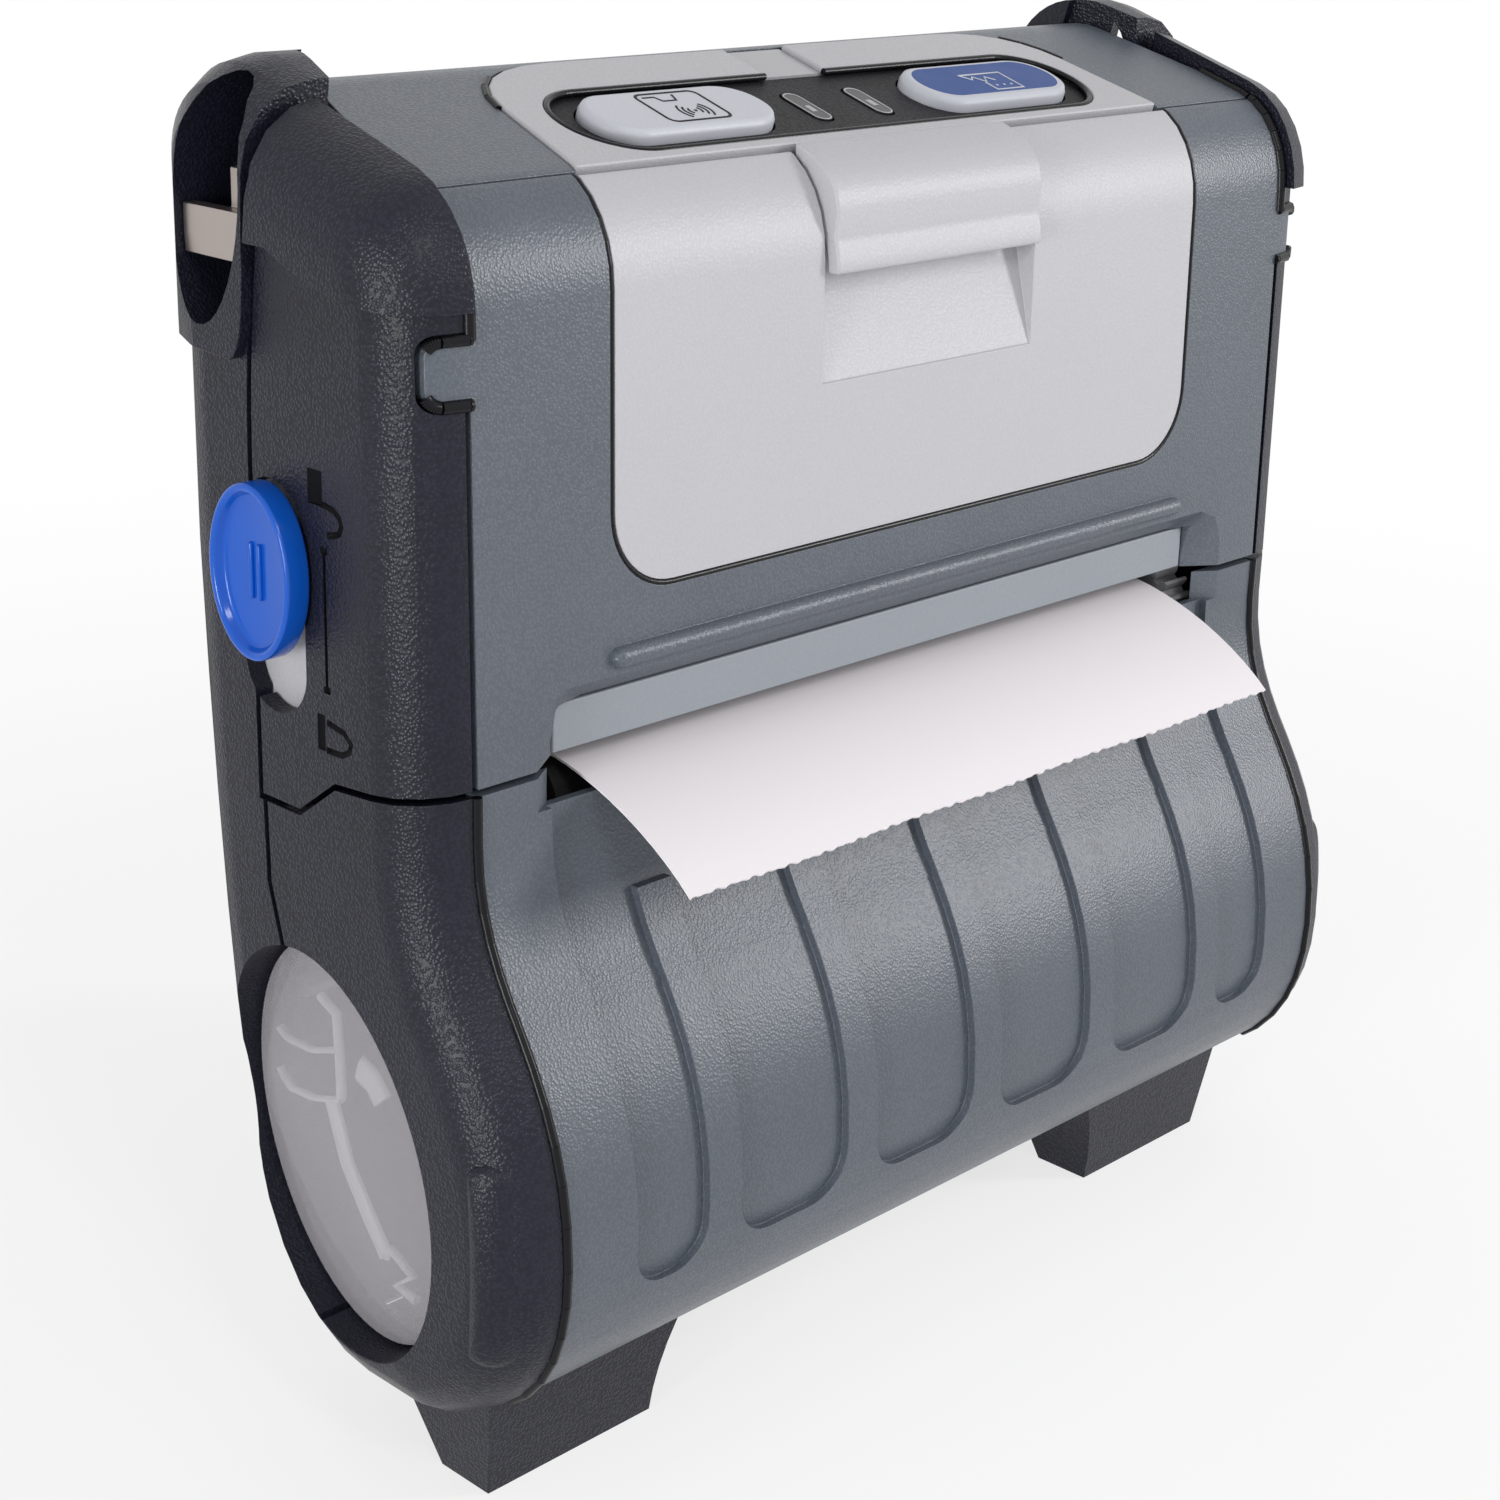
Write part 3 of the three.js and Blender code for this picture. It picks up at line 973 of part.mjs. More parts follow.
function driveParts() {
  const plateInner = FRAME_HALF + FIT;
  const plateOuter = plateInner + GEAR_PLATE_THICK;
  const platenPhase = IDLER_ANGLE;
  const idlerPhase = meshingPhase(PLATEN_TEETH, platenPhase, IDLER_ANGLE, IDLER_TEETH);
  const pinionPhase = meshingPhase(IDLER_TEETH, idlerPhase, PINION_ANGLE, PINION_TEETH);
  const shaft = rodX(SHAFT_R, -(BRACKET_X + BRACKET_THICK + FIT), GEAR_X + GEAR_WIDE + FIT, PLATEN_Y, PLATEN_Z);
  const rubber = ringX(PLATEN_R, SHAFT_R + FIT, -PLATEN_HALF, PLATEN_HALF, PLATEN_Y, PLATEN_Z);
  const bush = (side) => ringX(BUSH_R, SHAFT_R + FIT, side * BRACKET_X, side * (BRACKET_X + BRACKET_THICK),
    PLATEN_Y, PLATEN_Z);
  const edge = GEAR_PLATE_EDGE;
  const plateShape = polygon([
    [IDLER_Y - 2 * edge, IDLER_Z - 2 * edge], [IDLER_Y + 2 * edge, IDLER_Z - 2 * edge],
    [PINION_Y + 2 * edge, PINION_Z - edge], [PINION_Y + 2 * edge, PINION_Z + 2 * edge],
    [FRAME_Y + FRAME_THICK, FRAME_LOW_Z], [FRAME_Y + FRAME_THICK, GEAR_PLATE_TOP_Z],
    [FRAME_Y - 2 * edge, GEAR_PLATE_TOP_Z], [IDLER_Y - 2 * edge, FRAME_LOW_Z],
  ]);
  const plate = cut(acrossX(plateShape, plateInner, plateOuter),
    rodX(MOTOR_SHAFT_R + FIT, -FAR, FAR, PINION_Y, PINION_Z, SMALL_STEPS));
  const idlerPin = rodX(GEAR_SHAFT_R, plateOuter - FIT, GEAR_X + GEAR_WIDE, IDLER_Y, IDLER_Z, SMALL_STEPS);
  const motor = cut(rodX(MOTOR_R, plateInner - MOTOR_LONG, plateInner - FIT, PINION_Y, PINION_Z),
    rodX(MOTOR_SHAFT_R + FIT, plateInner - MOTOR_LONG / 2, FAR, PINION_Y, PINION_Z, SMALL_STEPS));
  const pinion = join(gear(PINION_TEETH, pinionPhase, PINION_Y, PINION_Z, 0),
    rodX(MOTOR_SHAFT_R, plateInner - MOTOR_LONG / 2 + FIT, GEAR_X + FIT, PINION_Y, PINION_Z, SMALL_STEPS));
  return {
    cover: [
      meshOf('platen_shaft', shaft, metal.steel),
      meshOf('platen_rubber', rubber, { color: 0x1a1a1c, roughness: 0.8 }),
      meshOf('platen_gear', gear(PLATEN_TEETH, platenPhase, PLATEN_Y, PLATEN_Z, SHAFT_R + FIT), plastic.light),
      meshOf('platen_bush_left', bush(-1), { color: 0xd8d4c8, roughness: 0.5 }),
      meshOf('platen_bush_right', bush(1), { color: 0xd8d4c8, roughness: 0.5 }),
    ],
    chassis: [
      meshOf('gear_plate', join(plate, idlerPin), metal.steel),
      meshOf('idler_gear', gear(IDLER_TEETH, idlerPhase, IDLER_Y, IDLER_Z, GEAR_SHAFT_R + FIT), plastic.light),
      meshOf('stepper_motor', motor, metal.steel),
      meshOf('motor_pinion', pinion, metal.steel),
    ],
  };
}

// Print head over the platen, pressed down by two springs
function headParts() {
  const low = PLATEN_Z + PLATEN_R + HEAD_GAP;
  const sinkLow = low + HEAD_THICK + FIT;
  const head = block(-HEAD_HALF, HEAD_HALF, HEAD_FRONT_Y, HEAD_FRONT_Y + HEAD_DEEP, low, low + HEAD_THICK);
  let sink = block(-HEAD_HALF + SINK_INSET, HEAD_HALF - SINK_INSET, HEAD_FRONT_Y + SINK_INSET,
    HEAD_FRONT_Y + HEAD_DEEP - SINK_INSET, sinkLow, sinkLow + SINK_HIGH);
  const groove = SINK_HIGH / 2;
  for (let i = -1; i <= 1; i += 1) {
    const y = HEAD_FRONT_Y + HEAD_DEEP / 2 + 2 * i * groove / 1.4;
    sink = cut(sink, block(-FAR, FAR, y - groove / 4, y + groove / 4, sinkLow + groove, SKY));
  }
  const springs = [-1, 1].map((side) => rodZ(HEAD_SPRING_R, sinkLow + SINK_HIGH + FIT, FRAME_LOW_Z - FIT,
    side * HEAD_SPRING_X, HEAD_FRONT_Y + HEAD_DEEP / 2));
  const tearTop = MOUTH_TOP_IN_Z - FIT;
  const tearBack = MOUTH_DEPTH + TEAR_THICK;
  const flange = block(-PLATEN_HALF, PLATEN_HALF, tearBack - FIT, HEAD_FRONT_Y + SINK_INSET - FIT,
    tearTop - TEAR_THICK, tearTop);
  const tear = join(
    block(-TEAR_HALF, TEAR_HALF, MOUTH_DEPTH, tearBack, tearTop - TEAR_HIGH, tearTop),
    flange,
  );
  return [
    meshOf('print_head', head, { color: 0x2b3a2e, roughness: 0.4 }),
    meshOf('head_heat_sink', sink, metal.aluminium),
    meshOf('head_spring_left', springs[0], metal.steel),
    meshOf('head_spring_right', springs[1], metal.steel),
    meshOf('tear_bar', tear, { color: 0x90959a, roughness: 0.4 }),
  ];
}

// Inner frame with the battery shelf and the ledge over the head springs
function innerParts() {
  const wall = block(-FRAME_HALF, FRAME_HALF, FRAME_Y, FRAME_Y + FRAME_THICK, FRAME_LOW_Z, FRAME_HIGH_Z);
  const shelf = block(-SHELF_HALF, SHELF_HALF, SHELF_FRONT_Y, FRAME_Y + FRAME_THICK / 2, SHELF_Z,
    SHELF_Z + FRAME_THICK);
  const ledge = block(-SHELF_HALF, SHELF_HALF, LEDGE_FRONT_Y, FRAME_Y + FRAME_THICK / 2, FRAME_LOW_Z,
    FRAME_LOW_Z + FRAME_THICK);
  let frame = join(wall, shelf, ledge);
  const screws = [];
  for (const side of [-1, 1]) {
    for (const z of [SCREW_LOW_Z, SCREW_HIGH_Z]) {
      frame = cut(frame, rodY(SCREW_R + FIT, FRONT, REAR, side * SCREW_X, z));
      const shank = rodY(SCREW_R, FRAME_Y - FRAME_THICK / 2, BACK_Y - SCREW_HEAD_TALL / 2, side * SCREW_X, z);
      const head = rodY(SCREW_HEAD_R, BACK_Y - SCREW_HEAD_TALL, BACK_Y - FIT / 2, side * SCREW_X, z);
      const place = `${z > SCREW_LOW_Z ? 'upper' : 'lower'}_${side < 0 ? 'left' : 'right'}`;
      screws.push(meshOf(`case_screw_${place}`, join(shank, head), metal.steel));
    }
  }
  const batteryLow = SHELF_Z + FRAME_THICK + FIT;
  const battery = acrossY(
    roundedBox(0, batteryLow + BATTERY_HIGH / 2, 2 * BATTERY_HALF, BATTERY_HIGH, BATTERY_ROUND),
    BATTERY_FRONT_Y, FRAME_Y - FIT);
  const boardY = FRAME_Y + FRAME_THICK + FIT;
  const board = block(-BOARD_HALF, BOARD_HALF, boardY, boardY + BOARD_THICK,
    BOARD_LOW_Z, BOARD_LOW_Z + BOARD_HIGH);
  return [
    meshOf('inner_frame', frame, { color: 0x4a4c50, roughness: 0.6 }),
    meshOf('battery_pack', battery, { color: 0x2a2a2e, roughness: 0.5 }),
    meshOf('main_board', board, { color: 0x1f5a34, roughness: 0.5 }),
    ...screws,
  ];
}

// Media roll, the two arms that hold it and their guide rod
function mediaParts() {
  const rollHalf = PAPER_HALF;
  const roll = ringX(ROLL_R, CORE_R + FIT, -rollHalf, rollHalf, ROLL_Y, ROLL_Z, 2 * RING_STEPS);
  const core = ringX(CORE_R, CORE_R - CORE_WALL, -rollHalf, rollHalf, ROLL_Y, ROLL_Z);
  const armX = rollHalf + 2 * WALL / 2.2;
  const arms = [-1, 1].map((side) => {
    const x0 = side * armX;
    const x1 = side * (armX + ARM_THICK);
    const reach = new THREE.Vector2(ROD_Y - ROLL_Y, ROD_Z - ROLL_Z);
    const normal = new THREE.Vector2(-reach.y, reach.x).normalize().multiplyScalar(ARM_WIDE);
    const bar = acrossX(polygon([
      [ROLL_Y - normal.x, ROLL_Z - normal.y], [ROD_Y - 0.6 * normal.x, ROD_Z - 0.6 * normal.y],
      [ROD_Y + 0.6 * normal.x, ROD_Z + 0.6 * normal.y], [ROLL_Y + normal.x, ROLL_Z + normal.y],
    ]), x0, x1);
    const hub = rodX(ARM_HUB_R, x0, x1, ROLL_Y, ROLL_Z);
    const boss = rodX(CORE_R - CORE_WALL - FIT, x1, x0 - side * ARM_BOSS_LONG, ROLL_Y, ROLL_Z);
    const sleeve = rodX(SLEEVE_R, x0, side * (armX + SLEEVE_LONG), ROD_Y, ROD_Z, SMALL_STEPS);
    const body = cut(join(bar, hub, boss, sleeve), rodX(ROD_R + FIT, -FAR, FAR, ROD_Y, ROD_Z, SMALL_STEPS));
    const name = side < 0 ? 'media_arm_left' : 'media_arm_right';
    return meshOf(name, body, { color: 0xd5d9dc, roughness: 0.35, opacity: 0.8 });
  });
  const rod = rodX(ROD_R, -ROD_HALF, ROD_HALF, ROD_Y, ROD_Z, SMALL_STEPS);
  return {
    roll: [
      meshOf('paper_roll', roll, { color: 0xf0eeee, roughness: 0.9 }),
      meshOf('roll_core', core, { color: 0xc9a878, roughness: 0.9 }),
    ],
    arms,
    rod: meshOf('arm_guide_rod', rod, metal.steel),
  };
}

// A thin ribbon of paper along a line drawn in (y, z)
function ribbon(name, line) {
  const sides = [1, -1].map((side) => line.map((p, i) => {
    const a = line[Math.max(0, i - 1)];
    const b = line[Math.min(line.length - 1, i + 1)];
    const normal = new THREE.Vector2(-(b.y - a.y), b.x - a.x).normalize();
    return p.clone().addScaledVector(normal, side * PAPER_THICK / 2);
  }));
  const shape = new THREE.Shape([...sides[0], ...sides[1].reverse()]);
  return meshOf(name, acrossX(shape, -PAPER_HALF, PAPER_HALF), { color: 0xeeebee, roughness: 0.9 });
}

// The label stock: a web up from the roll, then a strip over the platen, out of the mouth and curling down
function paperPieces() {
  const ride = PLATEN_R + FIT + PAPER_THICK / 2;
  const roll = new THREE.Vector2(ROLL_Y, ROLL_Z);
  const platen = new THREE.Vector2(PLATEN_Y, PLATEN_Z);
  const apart = platen.clone().sub(roll);
  const wrap = ROLL_R + FIT + PAPER_THICK / 2;
  const towards = Math.atan2(apart.y, apart.x);
  const tangent = towards - Math.acos((wrap - ride) / apart.length());
  const out = new THREE.Vector2(Math.cos(tangent), Math.sin(tangent));
  const low = roll.clone().addScaledVector(out, wrap);
  const high = platen.clone().addScaledVector(out, ride);
  const along = high.clone().sub(low).normalize();
  const web = [low, high.clone().addScaledVector(along, -PLATEN_R / 2 - FIT)];
  const strip = [high.clone().addScaledVector(along, -PLATEN_R / 2)];
  for (let i = 0; i <= CURVE_STEPS; i += 1) {
    const angle = tangent + (Math.PI / 2 - tangent) * i / CURVE_STEPS;
    strip.push(platen.clone().add(new THREE.Vector2(ride * Math.cos(angle), ride * Math.sin(angle))));
  }
  const top = strip[strip.length - 1];
  const curl = new THREE.CubicBezierCurve(top, new THREE.Vector2(0.35 * PLATEN_Y, top.y),
    new THREE.Vector2(-0.7 * PLATEN_Y, top.y - 0.7 * PLATEN_R),
    new THREE.Vector2(-1.37 * PLATEN_Y, PLATEN_Z - 0.82 * PLATEN_R));
  strip.push(...curl.getPoints(2 * CURVE_STEPS).slice(1));
  return [ribbon('label_web', web), ribbon('label_strip', strip)];
}

function strapPost(name, side) {
  const outer = side * (SIDE - STRAP_BAR_INSET);
  const inner = outer - side * STRAP_BAR_THICK;
  const z = POCKET_Z - STRAP_BAR_DROP;
  const shape = oval(POCKET_Y, POCKET_Z, POCKET_HALF_Y - FIT, POCKET_HALF_Z - FIT, POCKET_LEAN);
  const bar = block(outer, inner, 0, REAR, z - STRAP_BAR_HEIGHT / 2, z + STRAP_BAR_HEIGHT / 2);
  const tongue = block(inner, inner - side * STRAP_BAR_THICK, 0, POCKET_Y, z - 1.1 * STRAP_BAR_HEIGHT,
    z + 1.3 * STRAP_BAR_HEIGHT);
  const link = block(outer, inner - side * STRAP_BAR_THICK, 0, POCKET_Y, z - STRAP_BAR_HEIGHT / 3,
    z + STRAP_BAR_HEIGHT / 3);
  const body = join(bar, tongue, link).intersect(acrossX(shape, 0, side * FAR, SMALL_STEPS));
  return meshOf(name, body, metal.nickel);
}

function hingePin(name, side) {
  const x0 = side * (HINGE_LUG_X + FIT);
  const x1 = side * (HINGE_LUG_X + 2 * HINGE_LUG_WIDE);
  return meshOf(name, rodX(HINGE_PIN_R, x0, x1, HINGE_Y, HINGE_Z, SMALL_STEPS), metal.steel);
}

// The printer, one group per thing that moves
function group(...meshes) {
  return new THREE.Group().add(...meshes.flat());
}

const drive = driveParts();
const media = mediaParts();
const [labelWeb, labelStrip] = paperPieces();
const [batteryDoor, doorTab] = doorParts();
const printer = group(
  group(rearHousing(), sideCover('left_side_cover', -1), sideCover('right_side_cover', 1), frontCover()),
  group(panelParts()),
  group(headParts(), innerParts(), drive.chassis, media.rod, labelWeb),
  group(strapPost('strap_post_left', -1), strapPost('strap_post_right', 1)),
  group(hingePin('hinge_pin_left', -1), hingePin('hinge_pin_right', 1)),
  group(mediaCoverFrame(), mediaCoverShell(), windowLens('window_left', -1), windowLens('window_right', 1),
    drive.cover, labelStrip),
  group(media.roll, media.arms),
  group(latchParts()),
  group(batteryDoor, doorTab),
);

const bounds = new THREE.Box3().setFromObject(printer);
const middle = bounds.getCenter(new THREE.Vector3());
printer.position.set(-middle.x, -middle.y, -bounds.min.z);
printer.updateMatrixWorld(true);

export default printer;
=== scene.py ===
# %% [markdown]
# # A portable barcode printer, dressed in Blender
# The printer's solids come from CAD as a fixed frame. This lesson rounds their edges, gives every surface
# its moulded, polished or printed finish, adds the small things that CAD leaves out, and lights the result
# like a studio photograph.

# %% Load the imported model
import json
import math

import bmesh
import bpy
from mathutils import Matrix, Vector
from mathutils.bvhtree import BVHTree


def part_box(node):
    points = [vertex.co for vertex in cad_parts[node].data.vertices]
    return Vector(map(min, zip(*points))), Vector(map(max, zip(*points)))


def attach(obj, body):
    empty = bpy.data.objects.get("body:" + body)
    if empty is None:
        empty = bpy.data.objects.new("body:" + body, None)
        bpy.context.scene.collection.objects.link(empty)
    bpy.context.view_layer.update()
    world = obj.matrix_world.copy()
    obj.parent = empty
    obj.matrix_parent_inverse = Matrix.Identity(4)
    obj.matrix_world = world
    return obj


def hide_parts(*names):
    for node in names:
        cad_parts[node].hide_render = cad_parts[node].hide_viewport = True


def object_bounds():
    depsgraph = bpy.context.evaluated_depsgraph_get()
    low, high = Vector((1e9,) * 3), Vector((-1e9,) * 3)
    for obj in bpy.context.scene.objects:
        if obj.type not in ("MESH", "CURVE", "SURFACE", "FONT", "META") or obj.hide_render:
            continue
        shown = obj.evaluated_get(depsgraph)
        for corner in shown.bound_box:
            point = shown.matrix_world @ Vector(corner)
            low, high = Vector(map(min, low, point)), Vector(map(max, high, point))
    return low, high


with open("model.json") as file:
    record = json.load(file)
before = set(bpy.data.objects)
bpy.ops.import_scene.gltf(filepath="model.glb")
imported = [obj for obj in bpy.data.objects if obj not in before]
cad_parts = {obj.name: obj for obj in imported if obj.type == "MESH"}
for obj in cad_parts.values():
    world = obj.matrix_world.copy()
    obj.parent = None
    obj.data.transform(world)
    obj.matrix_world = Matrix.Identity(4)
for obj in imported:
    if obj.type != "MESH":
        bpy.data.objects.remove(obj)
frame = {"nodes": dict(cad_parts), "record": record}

cad_low, cad_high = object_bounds()
body_of_node = {node: body for body, nodes in frame["record"]["behaviour"]["bodies"].items() for node in nodes}
slot_of_node = {entry["node"]: entry["material_slot"] for entry in frame["record"]["subparts"]}

# %% [markdown]
# The drawing of the printer counts in millimetres from its own middle, with the front face near y = 0.
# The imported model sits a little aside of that, so one shift turns drawing numbers into Blender's metres.
# It is read from two solids whose place in the drawing is known: the shell is symmetric about x = 0, and
# the oval latch button has its middle at y = 24.6.

# %% From drawing millimetres to metres
MM = 0.001
LATCH_MIDDLE_Y = 24.6
shell_low, shell_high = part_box("media_cover_shell")
latch_low, latch_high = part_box("latch_button")
shift = Vector(((shell_low.x + shell_high.x) / 2, (latch_low.y + latch_high.y) / 2 - LATCH_MIDDLE_Y * MM, 0))


def at(x, y, z):
    """A point of the drawing, in metres."""
    return Vector((x, y, z)) * MM + shift


print("drawing shift in mm", [round(c / MM, 3) for c in shift])

# %% [markdown]
# The camera stands where the photographer stood: in front, to the left and above, about 0.4 m away. Three
# angles say where it looks. A camera looks along its own -Z with +Y up, so its axes are built from the
# viewing direction and put into a matrix.

# %% The camera
FOCAL_PIXELS, PHOTO_PIXELS, SENSOR = 2778, 1500, 36
AZIMUTH, ELEVATION, ROLL = (math.radians(a) for a in (46.17, 19.68, 1.62))
CAMERA_PLACE = -256.2, -216.6, 197.5
level_share = math.cos(ELEVATION)
forward = Vector((math.sin(AZIMUTH) * level_share, math.cos(AZIMUTH) * level_share, -math.sin(ELEVATION)))
level_right = Vector((math.cos(AZIMUTH), -math.sin(AZIMUTH), 0))
level_up = level_right.cross(forward)
right = math.cos(ROLL) * level_right + math.sin(ROLL) * level_up
up = -math.sin(ROLL) * level_right + math.cos(ROLL) * level_up

camera_data = bpy.data.cameras.new("camera")
camera_data.sensor_width = SENSOR
camera_data.lens = FOCAL_PIXELS / PHOTO_PIXELS * SENSOR
camera_data.clip_start, camera_data.clip_end = 0.01, 20
camera = bpy.data.objects.new("camera", camera_data)
bpy.context.scene.collection.objects.link(camera)
turned = Matrix((right, up, -forward)).transposed().to_4x4()
camera.matrix_world = Matrix.Translation(at(*CAMERA_PLACE)) @ turned
bpy.context.scene.camera = camera
print("camera lens", round(camera_data.lens, 1), "mm")

# %% [markdown]
# Finishes are written as sums. A Signal is one output socket of a shader tree, and adding, multiplying or
# comparing signals adds the Math nodes. A Finish is one material: its tree, its main shader, and a method
# that adds any other node with its settings first and its values or links after.

# %% Shader helpers
class Signal:
    """One socket of a finish, which sums and comparisons can use."""

    def __init__(self, finish, socket):
        self.finish, self.socket = finish, socket

    def math(self, operation, *others):
        made = self.finish.node("ShaderNodeMath", {"operation": operation})
        for socket, value in zip(made.inputs, (self, *others)):
            self.finish.feed(socket, value)
        return Signal(self.finish, made.outputs[0])

    def __add__(self, other): return self.math("ADD", other)
    def __mul__(self, other): return self.math("MULTIPLY", other)
    def __sub__(self, other): return self.math("SUBTRACT", other)
    def __rsub__(self, other): return (self * -1) + other
    def __truediv__(self, other): return self.math("DIVIDE", other)
    __radd__, __rmul__ = __add__, __mul__
    def size(self): return self.math("ABSOLUTE")
    def root(self): return self.math("SQRT")
    def least(self, other): return self.math("MAXIMUM", other)
    def above(self, other): return self.math("GREATER_THAN", other)
    def below(self, other): return self.math("LESS_THAN", other)

    def ramp(self, low, high):
        """0 at low and 1 at high, smooth between."""
        made = self.finish.node("ShaderNodeMapRange", {"interpolation_type": "SMOOTHSTEP"},
                                {"Value": self, "From Min": low, "From Max": high})
        return Signal(self.finish, made.outputs[0])


class Finish:
    """A material while it is being mixed."""

    def __init__(self, name):
        self.material = bpy.data.materials.new(name)
        self.material.use_nodes = True
        self.tree = self.material.node_tree
        self.tree.nodes.clear()
        self.shader = self.node("ShaderNodeBsdfPrincipled")
        self.surface = self.node("ShaderNodeOutputMaterial").inputs["Surface"]
        self.tree.links.new(self.shader.outputs[0], self.surface)
        self.place = Signal(self, self.node("ShaderNodeTexCoord").outputs["Object"])

    def feed(self, socket, value):
        if isinstance(value, Signal):
            self.tree.links.new(value.socket, socket)
        else:
            socket.default_value = value

    def node(self, kind, settings=None, values=None):
        made = self.tree.nodes.new(kind)
        for name, value in (settings or {}).items():
            setattr(made, name, value)
        for name, value in (values or {}).items():
            self.feed(made.inputs[name], value)
        return made

    def signal(self, kind, settings=None, values=None, output=0):
        return Signal(self, self.node(kind, settings, values).outputs[output])

    def noise(self, scale, detail=2, roughness=0.5):
        return self.signal("ShaderNodeTexNoise", None,
                           {"Vector": self.place, "Scale": scale, "Detail": detail, "Roughness": roughness})

    def mix(self, mask, colour_a, colour_b):
        made = self.node("ShaderNodeMix", {"data_type": "RGBA"})
        colours = [s for s in made.inputs if s.type == "RGBA"]
        self.feed(made.inputs[0], mask)
        self.feed(colours[0], colour_a)
        self.feed(colours[1], colour_b)
        return Signal(self, next(s for s in made.outputs if s.type == "RGBA"))

    def bump(self, height, depth):
        """Raises the surface by height, which runs from 0 to 1, times depth in metres."""
        made = self.node("ShaderNodeBump", None, {"Height": height, "Distance": depth, "Strength": 1.0})
        self.feed(self.shader.inputs["Normal"], Signal(self, made.outputs[0]))

    def set(self, **values):
        for name, value in values.items():
            self.feed(self.shader.inputs[name.replace("_", " ")], value)
        return self


def colour(red, green, blue):
    """A colour as screens write it, 0 to 255, as the light that it stands for."""
    def as_light(screen):
        share = screen / 255
        return share / 12.92 if share <= 0.04045 else ((share + 0.055) / 1.055) ** 2.4

    return (*(as_light(screen) for screen in (red, green, blue)), 1)


def shade(base, factor):
    return tuple(c * factor for c in base[:3]) + (1,)


# %% [markdown]
# The case is moulded plastic. Its tool is etched, which leaves a grain like fine leather: round pebbles up to
# half a millimetre across with narrow valleys between. Voronoi cells make the pebbles, nudged by a noise so that
# they don't line up, and a bump raises each pebble. The base colour is painted lighter on each pebble top, as a
# painted glint, and darker in each valley, as painted shade. A broad noise adds the slight cloudiness of a
# moulded colour.

# %% Moulded plastics
WANDER_SCALE, NUDGE_SHARE = 900, 0.7
PEBBLE_TOP, VALLEY_EDGE = 0.02, 0.78


def moulded(name, base, cell_mm=0.5, depth_mm=0.03, gloss=0.42, painted_glint_and_cloud_contrast=0.1, shine=0.4):
    finish = Finish(name)
    wander = finish.signal("ShaderNodeTexNoise", None,
                           {"Vector": finish.place, "Scale": WANDER_SCALE, "Detail": 1}, output=1)
    nudged = finish.signal("ShaderNodeVectorMath", {"operation": "MULTIPLY_ADD"},
                           {0: wander, 1: (cell_mm * MM * NUDGE_SHARE,) * 3, 2: finish.place})
    cell = finish.signal("ShaderNodeTexVoronoi", {"feature": "F1"}, {"Vector": nudged, "Scale": 1 / (cell_mm * MM)})
    pebble = 1 - cell.ramp(PEBBLE_TOP, VALLEY_EDGE)
    cloudy = finish.noise(60, detail=1)
    # painted light: pebble tops are painted lighter as a glint and valleys darker as shade; the cloud noise is the
    # plastic's own uneven colour
    painted_glint_and_cloud = pebble * 0.75 + cloudy * 0.5 - 0.12
    tone_with_painted_glint = finish.mix(painted_glint_and_cloud, shade(base, 1 - painted_glint_and_cloud_contrast), shade(base, 1 + painted_glint_and_cloud_contrast))
    finish.set(Base_Color=tone_with_painted_glint, Roughness=gloss + (1 - pebble) * 0.1, Specular_IOR_Level=shine)
    finish.bump(pebble, depth_mm * MM)
    return finish.material


finishes = {
    "dark_plastic": moulded("dark moulded plastic", colour(26, 27, 39), 0.42, 0.055,
                            gloss=0.28, painted_glint_and_cloud_contrast=0.4, shine=0.26),
    "grey_plastic": moulded("grey moulded plastic", colour(82, 88, 97), 0.38, 0.03,
                            gloss=0.3, painted_glint_and_cloud_contrast=0.18, shine=0.45),
    "light_plastic": moulded("light moulded plastic", colour(176, 175, 179), 0.4, 0.02,
                             gloss=0.34, painted_glint_and_cloud_contrast=0.03, shine=0.3),
    "frame_plastic": moulded("inner frame plastic", colour(64, 66, 70), gloss=0.45),
    "battery_plastic": moulded("battery plastic", colour(42, 42, 46), gloss=0.5),
    "bush_plastic": moulded("bush plastic", colour(216, 212, 200), depth_mm=0.005),
    "keypad_plastic": moulded("keypad sheet", colour(31, 31, 34), 0.4, 0.03, gloss=0.45, painted_glint_and_cloud_contrast=0.4, shine=0.14),
    "pale_button": moulded("pale button plastic", colour(186, 188, 196), 0.3, 0.004, gloss=0.36, painted_glint_and_cloud_contrast=0.02),
    "tear_metal": moulded("painted tear bar", colour(136, 141, 148), 0.5, 0.006, gloss=0.36, painted_glint_and_cloud_contrast=0.03),
}
print("moulded", len(finishes), "plastics")

# %% [markdown]
# Smooth finishes have no grain, only a faint unevenness in their gloss, from polishing and from handling.
# The latch is glossy blue, the keypad a satin sheet, and the metals are nickel plate, drawn steel and
# extruded aluminium.

# %% Polished plastics and metals
def smooth(name, base, gloss, metallic=0.0, waver=0.05, coat=0.0, shine=0.5):
    finish = Finish(name)
    handling = finish.noise(180, detail=3)
    finish.set(Base_Color=finish.mix(handling, shade(base, 0.97), shade(base, 1.03)), Metallic=metallic,
               Roughness=gloss + handling * waver)
    finish.set(Coat_Weight=coat, Coat_Roughness=0.08, Specular_IOR_Level=shine)
    return finish.material


